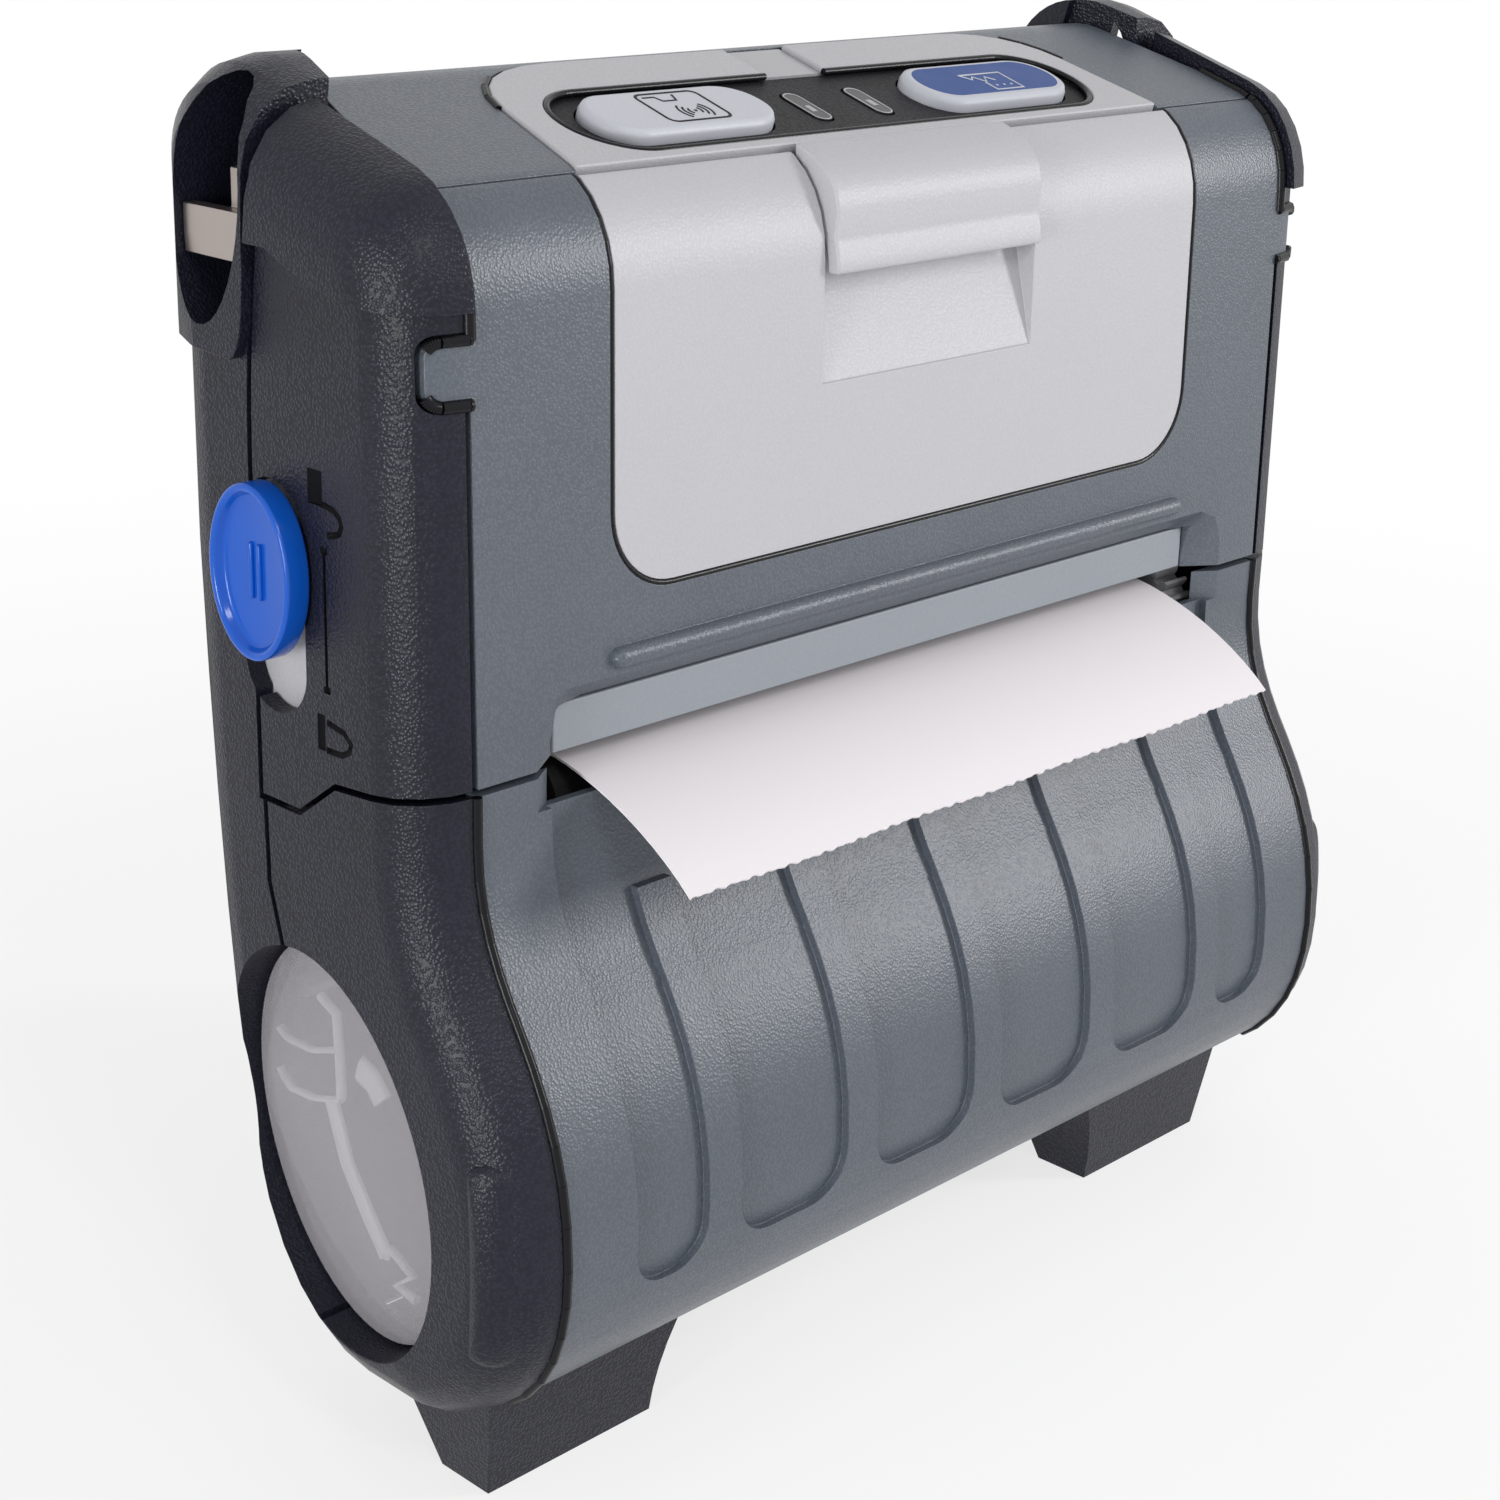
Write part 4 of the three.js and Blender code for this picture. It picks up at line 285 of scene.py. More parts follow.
def drawn_metal(name, base, gloss):
    """Metal with fine lines along X, as drawn or rolled stock has."""
    finish = Finish(name)
    stretched = finish.signal("ShaderNodeVectorMath", {"operation": "MULTIPLY"},
                              {0: finish.place, 1: (60, 2600, 2600)})
    lines = finish.signal("ShaderNodeTexNoise", None, {"Vector": stretched, "Scale": 1, "Detail": 2})
    finish.set(Base_Color=finish.mix(lines, shade(base, 0.9), shade(base, 1.05)), Metallic=1.0,
               Roughness=gloss + lines * 0.15)
    finish.bump(lines, 0.004 * MM)
    return finish.material


finishes |= {
    "blue_button": smooth("blue button face", colour(16, 62, 140), 0.3),
    "latch_plastic": smooth("blue latch plastic", colour(8, 78, 176), 0.16, coat=0.1, shine=0.3),
    "led_lens": smooth("lamp lens", colour(34, 34, 37), 0.3),
    "nickel": smooth("nickel plate", colour(172, 163, 158), 0.28, metallic=1.0, waver=0.1),
    "steel": drawn_metal("drawn steel", colour(180, 180, 184), 0.28),
    "aluminium": drawn_metal("extruded aluminium", colour(169, 172, 176), 0.38),
    "circuit_board": smooth("circuit board lacquer", colour(31, 90, 52), 0.3),
    "head_ceramic": smooth("print head glaze", colour(43, 58, 46), 0.15),
    "platen_rubber": moulded("platen rubber", colour(28, 28, 30), 0.2, 0.01, gloss=0.6),
}
print("mixed", len(finishes), "finishes so far")

# %% [markdown]
# Paper looks plain, but its fibres give it a soft tooth. The side windows and the media arms are clear or
# milky plastic, so most of their surface lets the view through, and a glancing look sees more of it: a
# Layer Weight node drives their Alpha for that.

# %% Paper, board and clear plastics
def fibrous(name, base, tooth_mm=0.25):
    finish = Finish(name)
    fibre = finish.noise(1 / (tooth_mm * MM), detail=4, roughness=0.7)
    finish.set(Base_Color=finish.mix(fibre, shade(base, 0.97), base), Roughness=0.75 + fibre * 0.1)
    finish.bump(fibre, 0.01 * MM)
    return finish.material


def clear(name, base, facing_alpha, edge_alpha, gloss):
    finish = Finish(name)
    edge = finish.signal("ShaderNodeLayerWeight", None, {"Blend": 0.35}, output="Facing")
    haze = finish.noise(90, detail=2)
    finish.set(Base_Color=finish.mix(haze, shade(base, 0.96), base), Roughness=gloss + haze * 0.04,
               Alpha=facing_alpha + edge * (edge_alpha - facing_alpha))
    return finish.material


finishes |= {
    "paper": fibrous("coated paper", colour(226, 221, 224)),
    "cardboard": fibrous("core board", colour(201, 168, 120), tooth_mm=0.6),
    "clear_window": clear("clear window", colour(186, 183, 189), 0.24, 0.6, 0.08),
    "arm_plastic": clear("milky plastic", colour(226, 228, 230), 0.5, 0.85, 0.22),
    "smoked_window": clear("frosted window", colour(176, 176, 180), 0.75, 0.95, 0.2),
}
print("all", len(finishes), "finishes; slots without one:", sorted(set(slot_of_node.values()) - set(finishes)))

# %% [markdown]
# Every CAD solid first gets the finish of its slot. A solid whose shape is right keeps its mesh, and only
# its material is new.

# %% Dress the solids
def dress(thing, material):
    thing.data.materials.clear()
    thing.data.materials.append(material)


for node, solid in frame["nodes"].items():
    dress(solid, finishes[slot_of_node[node]])

# %% [markdown]
# Moulded parts have no knife-sharp edges. The CAD solids do, so each visible one is refined: its mesh is
# copied, its loose triangles are welded and flat neighbours are joined into whole faces. The edges that a
# hand would feel, such as the rims of the windows and the lips of the bumper pads, are then picked by where
# they are and rolled wide, and a Bevel modifier takes the knife edge off all the others. Smooth shading
# stops at what is still sharp, and large flat faces keep a flat sheen beside their rolled edges.

# %% Refine the moulded solids
WELD_MM, FLAT = 0.002, math.radians(0.4)
BENT, SHARP = math.radians(30), math.radians(35)


def pick_only(thing):
    bpy.ops.object.select_all(action="DESELECT")
    thing.select_set(True)
    bpy.context.view_layer.objects.active = thing


def keep(thing, body, slot, *replaced):
    """The finished piece rides on its body and takes its slot's finish."""
    if not thing.data.materials:
        dress(thing, finishes[slot])
    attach(thing, body)
    if replaced:
        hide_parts(*replaced)
    return thing


def roll_edges(piece, width_mm, picked):
    """Rolls the bent edges whose two ends pass a test of their place in the drawing."""
    bpy.ops.mesh.select_mode(type="EDGE")
    bpy.ops.mesh.select_all(action="DESELECT")
    mesh = bmesh.from_edit_mesh(piece.data)
    count = 0
    for edge in mesh.edges:
        sharp = len(edge.link_faces) == 2 and edge.calc_face_angle(0) > BENT
        if sharp and all(picked((corner.co - shift) / MM) for corner in edge.verts):
            edge.select_set(True)
            count += 1
    bmesh.update_edit_mesh(piece.data)
    if count:
        bpy.ops.mesh.bevel(offset=width_mm * MM, segments=4, affect="EDGES", clamp_overlap=True,
                           miter_outer="ARC")
    print("rolled", count, "edges of", piece.name)


def open_copy(node, name):
    """A copy of a CAD solid in edit mode, its triangles welded and joined into whole faces."""
    piece = bpy.data.objects.new(name, frame["nodes"][node].data.copy())
    bpy.context.scene.collection.objects.link(piece)
    pick_only(piece)
    bpy.ops.object.mode_set(mode="EDIT")
    bpy.ops.mesh.select_all(action="SELECT")
    bpy.ops.mesh.remove_doubles(threshold=WELD_MM * MM)
    bpy.ops.mesh.dissolve_limited(angle_limit=FLAT)
    return piece


def soften(piece, width_mm, segments, corner="MITER_SHARP"):
    """Bevels every sharp edge and shades the rest smooth."""
    bevel = piece.modifiers.new("rolled edges", "BEVEL")
    bevel.width, bevel.segments = width_mm * MM, segments
    bevel.limit_method, bevel.angle_limit, bevel.miter_outer = "ANGLE", SHARP, corner
    pick_only(piece)
    bpy.ops.object.modifier_apply(modifier=bevel.name)
    bpy.ops.object.shade_smooth_by_angle(angle=SHARP)


def even_shading(piece):
    """Weighs each corner's normal by face area, so that large flat faces shade flat beside rolled edges."""
    weigh = piece.modifiers.new("even shading", "WEIGHTED_NORMAL")
    weigh.keep_sharp = True
    pick_only(piece)
    bpy.ops.object.modifier_apply(modifier=weigh.name)


def refine(node, edge_mm, rolls):
    piece = open_copy(node, node + "_finished")
    for width_mm, picked in rolls:
        roll_edges(piece, width_mm, picked)
    bpy.ops.object.mode_set(mode="OBJECT")
    soften(piece, edge_mm, 2, "MITER_ARC")
    even_shading(piece)
    return keep(piece, body_of_node[node], slot_of_node[node], node)


SIDE_X, PAD_X, LOOP_X = 81.3, 83.1, 82.7
WINDOW_Y, WINDOW_Z, WINDOW_SHORT, WINDOW_LONG, WINDOW_LEAN = 18, 42.5, 18, 25.5, math.radians(-20)


def at_window_rim(p):
    u, v = p.y - WINDOW_Y, p.z - WINDOW_Z
    across = (u * math.cos(WINDOW_LEAN) + v * math.sin(WINDOW_LEAN)) / WINDOW_SHORT
    along = (v * math.cos(WINDOW_LEAN) - u * math.sin(WINDOW_LEAN)) / WINDOW_LONG
    return abs(p.x) > SIDE_X - 0.8 and abs(math.hypot(across, along) - 1) < 0.04


def on_pad_face(p):
    return abs(p.x) > PAD_X - 0.1


def on_loop_face(p):
    return abs(p.x) > LOOP_X - 0.1


def on_flutes(p):
    return abs(p.x) < 68 and 25 < p.z < 80 and p.y < -5


ROLLS = {
    "rear_housing": [(1.5, at_window_rim), (1.7, on_loop_face)], "media_cover_frame": [(1.5, at_window_rim)],
    "left_side_cover": [(1.1, on_pad_face)], "right_side_cover": [(1.1, on_pad_face)],
    "media_cover_shell": [(0.9, on_flutes)],
}
EDGES = {
    "rear_housing": 0.4, "left_side_cover": 0.55, "right_side_cover": 0.55, "front_cover": 0.5, "top_cover": 0.45,
    "control_bezel": 0.3, "battery_door": 0.35, "door_tab": 0.35, "media_cover_frame": 0.4,
    "media_cover_shell": 0.3, "feed_button": 1.0, "power_button": 1.0, "keypad_plate": 0.12,
    "latch_slider": 0.3, "strap_post_left": 0.4, "strap_post_right": 0.4,
    "tear_bar": 0.25, "window_left": 0.3, "window_right": 0.3, "media_arm_left": 0.2, "media_arm_right": 0.2,
}
refined = {node: refine(node, edge, ROLLS.get(node, ())) for node, edge in EDGES.items()}
for node, piece in refined.items():
    print("refined", node, "to", len(piece.data.polygons), "faces")

# %% [markdown]
# The blue latch button is a shallow oval dish with a thin rim and two short bars for the thumb. It starts as
# a cylinder lying along X, stretched to an oval; its outer cap is inset for the rim and pushed in for the
# dish, and its inner cap is inset and drawn out for the neck that goes through the slot.

# %% The latch button
def add(name, adder, **settings):
    """A primitive at its place, with that place moved into its mesh, picked on its own."""
    bpy.ops.object.select_all(action="DESELECT")
    adder(**settings)
    thing = bpy.context.active_object
    thing.name = name
    bpy.ops.object.transform_apply(location=True, rotation=True, scale=True)
    return thing


def pick_faces(thing, test):
    bpy.ops.mesh.select_mode(type="FACE")
    bpy.ops.mesh.select_all(action="DESELECT")
    mesh = bmesh.from_edit_mesh(thing.data)
    for face in mesh.faces:
        face.select_set(bool(test(face)))
    bmesh.update_edit_mesh(thing.data)


def pull_out(x_mm):
    bpy.ops.mesh.extrude_region_move(TRANSFORM_OT_translate={"value": (x_mm * MM, 0, 0)})


LATCH_INNER_X, LATCH_OUTER_X = -81.6, -84.8
LATCH_MIDDLE_Z = 112.3
LATCH_HALF_WIDE, LATCH_HALF_TALL = 7.2, 10
LATCH_RIM, LATCH_DISH, NECK_INSET, NECK_LONG = 0.9, 1.3, 3.4, 2.6
DISH_TAPER = 1, 0.93, 0.95
BAR_APART, BAR_IN, BAR_SIZE = 0.75, 1.25, (0.8, 0.7, 6.4)
latch_middle = at((LATCH_INNER_X + LATCH_OUTER_X) / 2, LATCH_MIDDLE_Y, LATCH_MIDDLE_Z)
latch_dish = add("latch_dish", bpy.ops.mesh.primitive_cylinder_add, vertices=72, radius=MM,
                 depth=(LATCH_INNER_X - LATCH_OUTER_X) * MM, location=latch_middle, rotation=(0, math.pi / 2, 0))
bpy.ops.object.mode_set(mode="EDIT")
bpy.ops.transform.resize(value=(1, LATCH_HALF_WIDE, LATCH_HALF_TALL), center_override=latch_middle)
pick_faces(latch_dish, lambda face: face.normal.x < -0.9)
bpy.ops.mesh.inset(thickness=LATCH_RIM * MM)
pull_out(LATCH_DISH)
bpy.ops.transform.resize(value=DISH_TAPER, center_override=latch_middle)
pick_faces(latch_dish, lambda face: face.normal.x > 0.9)
bpy.ops.mesh.inset(thickness=NECK_INSET * MM)
pull_out(NECK_LONG)
bpy.ops.object.mode_set(mode="OBJECT")
soften(latch_dish, 0.4, 3)
keep(latch_dish, body_of_node["latch_button"], "latch_plastic", "latch_button")
for step in (-1, 1):
    bar = add("latch_bar_" + ("rear" if step > 0 else "front"), bpy.ops.mesh.primitive_cube_add, size=MM,
              location=at(LATCH_OUTER_X + BAR_IN, LATCH_MIDDLE_Y + BAR_APART * step, LATCH_MIDDLE_Z),
              scale=BAR_SIZE)
    soften(bar, 0.25, 3)
    keep(bar, body_of_node["latch_button"], "latch_plastic")
print("latch button has", len(latch_dish.data.polygons), "faces")

# %% [markdown]
# Printed and moulded marks are lines on a surface. Each is drawn flat, as a poly curve with a round section,
# and turned into a mesh. It is then squeezed thin and laid on its surface by a matrix whose columns are that
# surface's own axes: along, up and out.

# %% A pen for flat marks
def surface(origin, along, up):
    out = along.cross(up)
    return Matrix.Translation(origin) @ Matrix((along, up, out)).transposed().to_4x4()


def tube_mesh(name, chains, width_mm, fineness, closed=False):
    """One mesh of round tubes, each along a chain of points in metres."""
    line = bpy.data.curves.new(name, "CURVE")
    line.dimensions = "3D"
    for chain in chains:
        path = line.splines.new("POLY")
        path.points.add(len(chain) - 1)
        for knot, place in zip(path.points, chain):
            knot.co = (*place, 1)
        path.use_cyclic_u = closed
    line.bevel_depth, line.bevel_resolution, line.use_fill_caps = width_mm * MM / 2, fineness, True
    tube = bpy.data.objects.new(name, line)
    bpy.context.scene.collection.objects.link(tube)
    pick_only(tube)
    bpy.ops.object.convert(target="MESH")
    return bpy.context.active_object


def line_mesh(name, points, width_mm, where, thick_mm=0.12, closed=False):
    mark = tube_mesh(name, [[(u * MM, v * MM, 0) for u, v in points]], width_mm, 1, closed)
    mark.data.transform(where @ Matrix.Diagonal((1, 1, thick_mm / width_mm, 1)))
    return mark


def draw(name, points, width_mm, where, body, slot, closed=False):
    return keep(line_mesh(name, points, width_mm, where, closed=closed), body, slot)


def rounded(u, v, half_u, half_v, radius, steps=5):
    corners = ((1, 1, 0), (-1, 1, 90), (-1, -1, 180), (1, -1, 270))
    return [(u + a * (half_u - radius) + radius * math.cos(math.radians(start + 90 * k / steps)),
             v + b * (half_v - radius) + radius * math.sin(math.radians(start + 90 * k / steps)))
            for a, b, start in corners for k in range(steps + 1)]


def arc(u, v, radius, start, end, steps=8):
    turns = [math.radians(start + (end - start) * k / steps) for k in range(steps + 1)]
    return [(u + radius * math.cos(t), v + radius * math.sin(t)) for t in turns]


PANEL_FRONT = 7.3, 155
PANEL_TILT = math.atan2(7.5, 23.7)
panel_up = Vector((0, math.cos(PANEL_TILT), math.sin(PANEL_TILT)))
panel_out = Vector((1, 0, 0)).cross(panel_up)


def panel(height_mm):
    """The sloping panel's plane, lifted by a height."""
    return surface(at(0, *PANEL_FRONT) + panel_out * height_mm * MM, Vector((1, 0, 0)), panel_up)


JUST_OUTSIDE = 0.02
left_side = surface(at(-SIDE_X - JUST_OUTSIDE, 0, 0), Vector((0, -1, 0)), Vector((0, 0, 1)))
print("pen ready; the panel slopes", round(math.degrees(PANEL_TILT), 1), "degrees")

# %% [markdown]
# Two status lamps sit under the dark keypad sheet: each shows as a thin pale outline with a small grey
# window. The feed button carries a sheet of labels with a radio wave, and the power button a sheet being
# torn off. On the case's side, beside the latch, an open and a closed hook with an arrow between them tell
# which way it slides.

# %% Marks on the panel and the side
KEY_V = 10.6
LAMP_X, LAMP_OUTLINE = 5.5, (1.25, 3.7, 1.2)
sheet_top, button_top = panel(-0.44), panel(1.12)
for side, name in ((-1, "left"), (1, "right")):
    lamp_x = LAMP_X * side
    draw("lamp_outline_" + name, rounded(lamp_x, KEY_V, *LAMP_OUTLINE), 0.22, sheet_top, "chassis",
         "light_plastic", closed=True)
    draw("lamp_window_" + name, [(lamp_x, KEY_V - 1.5), (lamp_x, KEY_V + 0.1)], 1.1, sheet_top, "chassis",
         "smoked_window")

feed_key, power_key = body_of_node["feed_button"], body_of_node["power_button"]
draw("feed_sheet", rounded(-27, KEY_V, 4.9, 3.7, 1.1), 0.42, button_top, feed_key, "keypad_plastic", closed=True)
draw("feed_label", [(-31, 13.4), (-29.2, 13.4), (-28.7, 12.2), (-26.6, 12.2), (-26.1, 13.6)], 0.36, button_top,
     feed_key, "keypad_plastic")
draw("feed_dot", [(-26.4, 9.2), (-26.1, 9.2)], 0.5, button_top, feed_key, "keypad_plastic")
for k, radius in enumerate((0.9, 1.6, 2.3)):
    for facing in (0, 180):
        wave = arc(-26.25, 9.2, radius, facing - 42, facing + 42)
        draw("feed_wave_%d_%d" % (k, facing), wave, 0.3, button_top, feed_key, "keypad_plastic")
draw("power_sheet", [(23.4, 11.9), (31.4, 11.9), (31.4, 7.2), (26.2, 7.2), (26.2, 9.4)], 0.42, button_top, power_key,
     "pale_button")
draw("power_tear", [(23.4, 11.9), (24.6, 10.4), (25.4, 11.2), (26.6, 9.6), (27.6, 11.0), (28.6, 9.8)], 0.36,
     button_top, power_key, "pale_button")
for k in range(3):
    dot = [(27.2 + 1.4 * k, 8.4), (27.5 + 1.4 * k, 8.4)]
    draw("power_dot_%d" % k, dot, 0.42, button_top, power_key, "pale_button")

# %% [markdown]
# The marks beside the latch are pressed into the side cover. A Boolean modifier takes each mark's own mesh
# out of the cover, which leaves a groove half as deep as the mark is thick. The groove takes over the mark's
# matte near-black, which is painted shade in the groove; a glossy one would mirror the white floor and look pale.

# %% Marks pressed into the side cover
def press_into(piece, marks, inside):
    for mark in marks:
        dress(mark, inside)
        groove = piece.modifiers.new("groove", "BOOLEAN")
        groove.object, groove.operation, groove.solver = mark, "DIFFERENCE", "EXACT"
        groove.material_mode = "TRANSFER"
        pick_only(piece)
        bpy.ops.object.modifier_apply(modifier=groove.name)
        bpy.data.objects.remove(mark)
    bpy.ops.object.shade_smooth_by_angle(angle=SHARP)
    even_shading(piece)


PRESSED_MM = 0.9
side_marks = [
    line_mesh("open_block", [(-16.7, 121.0), (-16.7, 124.9)], 2.6, left_side, PRESSED_MM),
    line_mesh("open_hook", [(-16.2, 121.4), (-13.6, 121.0), (-12.6, 120.4), (-12.2, 119.5), (-12.6, 118.6),
                            (-13.6, 118.2), (-14.8, 118.0)], 0.8, left_side, PRESSED_MM),
    line_mesh("closed_block", [(-16.6, 93.2), (-16.6, 97.4)], 1.4, left_side, PRESSED_MM),
    line_mesh("closed_hook", [(-15.6, 96.7), (-12.6, 96.2), (-11.4, 95.2), (-11.7, 94.2), (-13.0, 93.5),
                              (-15.8, 93.4)], 0.8, left_side, PRESSED_MM),
    line_mesh("arrow_shaft", [(-15.4, 100.0), (-15.4, 116.6)], 0.5, left_side, PRESSED_MM),
    line_mesh("arrow_up", [(-15.4, 115.8), (-15.4, 116.6)], 1.2, left_side, PRESSED_MM),
    line_mesh("arrow_down", [(-15.4, 100.0), (-15.4, 100.8)], 1.2, left_side, PRESSED_MM),
]
before = len(refined["left_side_cover"].data.polygons)
# the near-black in the grooves is painted shade on the case's own dark plastic
press_into(refined["left_side_cover"], side_marks, smooth("painted groove shade", colour(9, 9, 12), 0.5, shine=0.08))
print("side cover went from", before, "to", len(refined["left_side_cover"].data.polygons), "faces")

# %% [markdown]
# Painted shade darkens the gaps around the grey covers and around the door. Each dark tube follows the outer
# rim of one solid: a rim edge lies between a face that looks out and a face that looks into the gap, and the
# tube runs beside it, a little way into the gap and a little below the surface.

# %% Painted shade in the gaps
RIM_BEND, LOOKS_OUT = math.radians(60), 0.45


def rim_lines(node, outward, chosen, aside_mm, sunk_mm):
    """The rim edges of a CAD solid as pairs of points, moved into the gap."""
    mesh = bmesh.new()
    mesh.from_mesh(frame["nodes"][node].data)
    bmesh.ops.remove_doubles(mesh, verts=mesh.verts, dist=WELD_MM * MM)
    lines = []
    for edge in mesh.edges:
        if len(edge.link_faces) != 2 or edge.calc_face_angle(0) < RIM_BEND:
            continue
        outer, wall = sorted(edge.link_faces, key=lambda face: -face.normal.dot(outward))
        if outer.normal.dot(outward) > LOOKS_OUT and all(chosen((corner.co - shift) / MM) for corner in edge.verts):
            move = wall.normal * aside_mm * MM - outer.normal * sunk_mm * MM
            lines.append([corner.co + move for corner in edge.verts])
    mesh.free()
    return lines


# a near-black tube of painted shade along one solid's rim, inside the gap
def shade_in_gap(name, node, outward, chosen, width_mm, body, aside_mm=0.4, sunk_mm=0.35):
    lines = rim_lines(node, Vector(outward).normalized(), chosen, aside_mm, sunk_mm)
    piece = tube_mesh(name, lines, width_mm, 2)
    bpy.ops.object.shade_smooth_by_angle(angle=RIM_BEND)
    dress(piece, gap_shade_black)
    print(name, "has", len(piece.data.polygons), "faces")
    return keep(piece, body, "dark_plastic")


# painted shade: the near-black of these tubes stands for the shade that falls into the gaps
gap_shade_black = smooth("painted gap shade", colour(12, 12, 16), 0.25, shine=0.2)
FRONT, TOP = (0, -1, 0.4), (0, -0.3, 1)
shade_in_gap("gap_shade_door", "battery_door", FRONT, lambda p: abs(p.x) > 44 or p.z < 112, 0.9, "chassis")
shade_in_gap("gap_shade_bezel", "control_bezel", TOP, lambda p: 8.5 < p.y < 31, 0.9, "chassis")
shade_in_gap("gap_shade_front", "front_cover", FRONT, lambda p: abs(p.x) > 70 and p.z > 92, 1.5, "chassis", 0.15, 0.05)
shade_in_gap("gap_shade_top", "top_cover", TOP, lambda p: abs(p.x) > 72, 1.3, "chassis", 0.15, 0.1)
shade_in_gap("gap_shade_shell", "media_cover_shell", (0, -1, 0.1), lambda p: abs(p.x) > 72, 1.3, "media_cover", 0.2, 0.1)

# %% [markdown]
# The power button is pale with a blue printed face. The print follows the sheet's own outline: how far a
# point is from the middle line of the pill decides its colour, and only the top of the button takes it.

# %% The blue printed face
PRINT_X, PRINT_HALF_LONG, PRINT_HALF_WIDE, PRINT_FROM = 27.5, 12.6, 4.1, 0.45


def printed_face(name, rim, face, middle_x, half_long, half_wide):
    finish = Finish(name)
    origin = at(middle_x, *PANEL_FRONT) + panel_up * KEY_V * MM

    def along(axis):
        reach = finish.signal("ShaderNodeVectorMath", {"operation": "DOT_PRODUCT"}, {0: finish.place, 1: axis},
                              output=1)
        return (reach - origin.dot(axis)) / MM

    over = (along(Vector((1, 0, 0))).size() - (half_long - half_wide)).least(0)
    up_mm = along(panel_up)
    inside = (over * over + up_mm * up_mm).root().below(half_wide) * along(panel_out).above(PRINT_FROM)
    handling = finish.noise(200, detail=2)
    finish.set(Base_Color=finish.mix(inside, rim, face), Roughness=0.28 + handling * 0.12, Specular_IOR_Level=0.12)
    return finish.material


dress(refined["power_button"], printed_face("power button", colour(186, 188, 196), colour(6, 60, 130),
                                            PRINT_X, PRINT_HALF_LONG, PRINT_HALF_WIDE))
print("drew the marks")

# %% [markdown]
# The label that hangs out was torn off on the bar, so its front edge has fine teeth. The CAD strip is
# copied and cut across many times along its width, and each cut's end is drawn back by a sum of three waves.

# %% The torn label
LABEL_HALF, TORN_CUTS = 55.5, 222
EDGE_BAND_MM, HANG_WAY = 0.6, Vector((0, -0.77, -0.64))
WAVES, DRAWN_BACK = ((0.1, 0.31, 0), (0.09, 0.47, 1), (0.12, 5.3, 2)), 0.31     # height, length, start


def torn(x):
    return sum(height * math.sin(x / length + start) for height, length, start in WAVES) - DRAWN_BACK


label = open_copy("label_strip", "label_torn")
for k in range(1, TORN_CUTS):
    bpy.ops.mesh.select_all(action="SELECT")
    cut_x = LABEL_HALF * (2 * k / TORN_CUTS - 1)
    bpy.ops.mesh.bisect(plane_co=at(cut_x, 0, 0), plane_no=(1, 0, 0))
bpy.ops.object.mode_set(mode="OBJECT")
front_y = min(corner.co.y for corner in label.data.vertices)
for corner in label.data.vertices:
    if corner.co.y < front_y + EDGE_BAND_MM * MM:
        corner.co += HANG_WAY * torn((corner.co.x - shift.x) / MM) * MM
bpy.ops.object.shade_smooth_by_angle(angle=math.radians(30))
keep(label, body_of_node["label_strip"], "paper", "label_strip")
print("label has", len(label.data.vertices), "points")

# %% [markdown]
# On each cheek of the media cover a long half-round rib gives the thumb a hold. It is a grid shaped like a
# capsule and draped: every point is sent straight in from the side until it meets the cover, then lifted by
# the height of a half-round.

# %% Thumb ribs on the media cover
RIB_LOW_Z, RIB_HIGH_Z, RIB_HALF, RIB_RISE = 25.8, 51.5, 2.3, 1.3
RIB_Y, RIB_BOW, RIB_SINK, FAR_OUT = -9.3, 0.9, 0.06, 100


def drape(name, side):
    rib = add(name, bpy.ops.mesh.primitive_grid_add, x_subdivisions=16, y_subdivisions=56, size=2)
    middle, half_long = (RIB_LOW_Z + RIB_HIGH_Z) / 2, (RIB_HIGH_Z - RIB_LOW_Z) / 2
    shape = refined["media_cover_frame"].data
    cover = BVHTree.FromPolygons([corner.co for corner in shape.vertices],
                                 [face.vertices for face in shape.polygons])
    for corner in rib.data.vertices:
        across, along = corner.co.x, corner.co.y
        past = max(0, abs(along) * half_long - (half_long - RIB_HALF)) / RIB_HALF
        half_here = RIB_HALF * math.sqrt(max(0, 1 - past * past))
        z = middle + along * half_long
        y = RIB_Y - RIB_BOW * (1 - along * along) + side * across * half_here
        hit = cover.ray_cast(at(side * FAR_OUT, y, z), Vector((-side, 0, 0)))[0]
        lift = RIB_RISE * math.sqrt(max(0, 1 - across * across)) * math.sqrt(max(0, 1 - past * past))
        corner.co = hit + Vector((side * (lift - RIB_SINK) * MM, 0, 0))
    rib.data.update()
    bpy.ops.object.shade_smooth()
    return keep(rib, "media_cover", "dark_plastic")


for side, name in ((-1, "left"), (1, "right")):
    print("draped", drape("thumb_rib_" + name, side).name)

# %% [markdown]
# Behind each side window stand moulded fins, which show through it as pale curved bars.

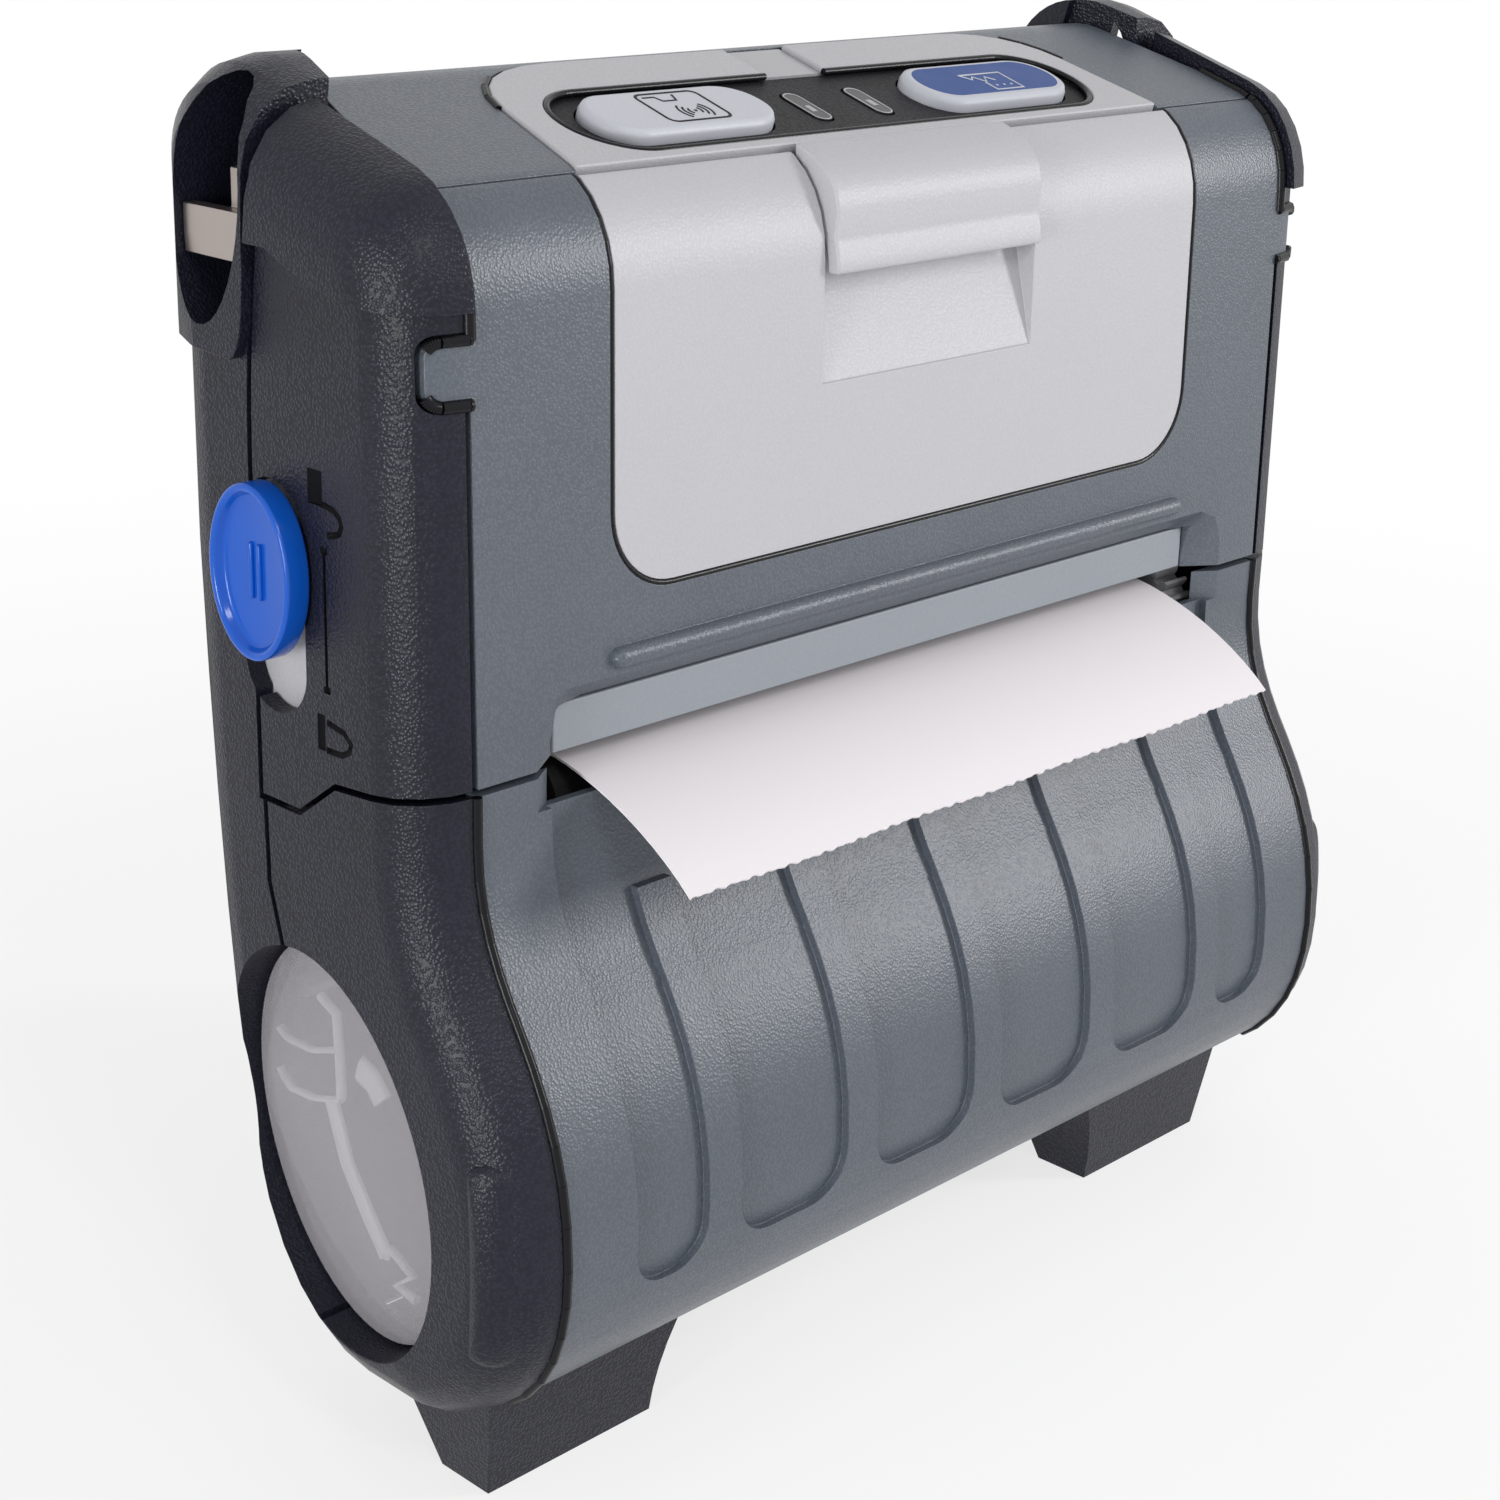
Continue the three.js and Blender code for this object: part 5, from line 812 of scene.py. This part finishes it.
# %% Fins behind the windows
FIN_X, FIN_THICK = 74.2, 1.2
fin_plastic = clear("fin plastic", colour(226, 227, 230), 0.5, 0.85, 0.25)
for side, name in ((-1, "left"), (1, "right")):
    inner = surface(at(side * FIN_X, 0, 0), Vector((0, side, 0)), Vector((0, 0, 1)))
    fins = {
        "upper": ([(36, 50.6), (34.9, 49.9), (33.8, 49.6), (29.3, 49.8), (24, 51.7)], 0.9),
        "lower": ([(36.2, 45.1), (35.2, 44), (33.8, 43.1), (29.3, 43.4), (24, 45.1)], 0.9),
        "post": ([(27.7, 57.6), (24.6, 56.2), (24.1, 49.1), (24.1, 45.3)], 1.5),
        "hub": ([(20.4, 50.6), (18, 49.8), (16.2, 47.8)], 4.4),
        "blade": ([(25.9, 44.2), (23.2, 36.9), (19.3, 31.4), (16, 27.2)], 3.1),
        "foot": ([(16, 27.2), (15, 28.6), (11, 26.6), (14.2, 24.2), (10.4, 23.6)], 1.3),
    }
    for place, (points, width_mm) in fins.items():
        mirrored = [(side * y, z) for y, z in points]
        fin = line_mesh("window_fin_%s_%s" % (name, place), mirrored, width_mm, inner, FIN_THICK)
        dress(fin, fin_plastic)
        keep(fin, "media_cover", "arm_plastic")
print("placed the fins")

# %% [markdown]
# A product photograph has no horizon, so the floor and what is behind it are the same white. The floor
# keeps a soft shadow, because part of its colour is lit and part glows on its own. The lit part
# fades out away from the printer, so that no far edge shows. Seen by the camera, by a gloss or through a
# window, the world is plain white; to everything else it is a dim grey fill.

# %% The floor and the world
FILL = 0.24
SHADOW_SHARE = 0.28
SHADOW_ENDS = 0.15, 0.5
FLOOR_SIZE, FLOOR_DROP, PAPER = 6, 0.02 * MM, 0.9
bpy.ops.object.select_all(action="DESELECT")
bpy.ops.mesh.primitive_plane_add(size=FLOOR_SIZE, location=(0, 0, -FLOOR_DROP))
floor = bpy.context.active_object
floor.name = "floor"
paper_floor = Finish("white floor")
glow = paper_floor.node("ShaderNodeEmission", None, {"Color": (1, 1, 1, 1), "Strength": 1.0})
lit = paper_floor.node("ShaderNodeBsdfDiffuse", None, {"Color": (PAPER, PAPER, PAPER, 1)})
path = paper_floor.node("ShaderNodeLightPath")
seen = Signal(paper_floor, path.outputs["Is Camera Ray"]).least(Signal(paper_floor, path.outputs["Is Glossy Ray"]))
seen = seen.least(Signal(paper_floor, path.outputs["Is Transmission Ray"]))
reach = paper_floor.signal("ShaderNodeVectorMath", {"operation": "LENGTH"}, {0: paper_floor.place}, output=1)
shadowed = SHADOW_SHARE * (1 - reach.ramp(*SHADOW_ENDS))
blend_floor = paper_floor.node("ShaderNodeMixShader", None, {0: seen * (1 - shadowed)})
paper_floor.tree.links.new(lit.outputs[0], blend_floor.inputs[1])
paper_floor.tree.links.new(glow.outputs[0], blend_floor.inputs[2])
paper_floor.tree.links.new(blend_floor.outputs[0], paper_floor.surface)
dress(floor, paper_floor.material)

world = bpy.data.worlds.new("white studio")
bpy.context.scene.world = world
world.use_nodes = True
nodes, links = world.node_tree.nodes, world.node_tree.links
background = nodes["Background"]
background.inputs["Color"].default_value = (1, 1, 1, 1)
ray = nodes.new("ShaderNodeLightPath")
looked_at = None
for kind in ("Is Camera Ray", "Is Glossy Ray", "Is Transmission Ray"):
    either = nodes.new("ShaderNodeMath")
    either.operation = "MAXIMUM"
    links.new(ray.outputs[kind], either.inputs[0])
    if looked_at:
        links.new(looked_at, either.inputs[1])
    looked_at = either.outputs[0]
level = nodes.new("ShaderNodeMapRange")
links.new(looked_at, level.inputs["Value"])
level.inputs["To Min"].default_value = FILL
level.inputs["To Max"].default_value = 1.0
links.new(level.outputs[0], background.inputs["Strength"])
bpy.context.scene.view_settings.view_transform = "Standard"
print("floor and world are white, with a fill of", FILL)

# %% [markdown]
# Narrow soft boxes light the printer, as they make the grain glint. A tall one on the right draws the sheen
# on the round cover, a low one on the left draws the line down the cheek, and a small key stands high in
# front.

# %% The lamps
middle = (cad_low + cad_high) / 2


def softbox(name, direction, distance, width, height, power):
    lamp = bpy.data.lights.new(name, "AREA")
    lamp.shape, lamp.size, lamp.size_y, lamp.energy = "RECTANGLE", width, height, power
    holder = bpy.data.objects.new(name, lamp)
    bpy.context.scene.collection.objects.link(holder)
    direction = Vector(direction).normalized()
    holder.location = middle + direction * distance
    holder.rotation_mode = "QUATERNION"
    holder.rotation_quaternion = direction.to_track_quat("Z", "Y")
    print("lamp", name, power, "W")


softbox("key", (-0.3, -0.72, 0.62), 1.1, 0.2, 0.2, 2.0)
softbox("right strip", (0.69, -0.65, 0.27), 1.1, 0.16, 0.4, 5.5)
softbox("left strip", (-0.97, -0.24, 0.02), 0.9, 0.16, 0.4, 5.0)
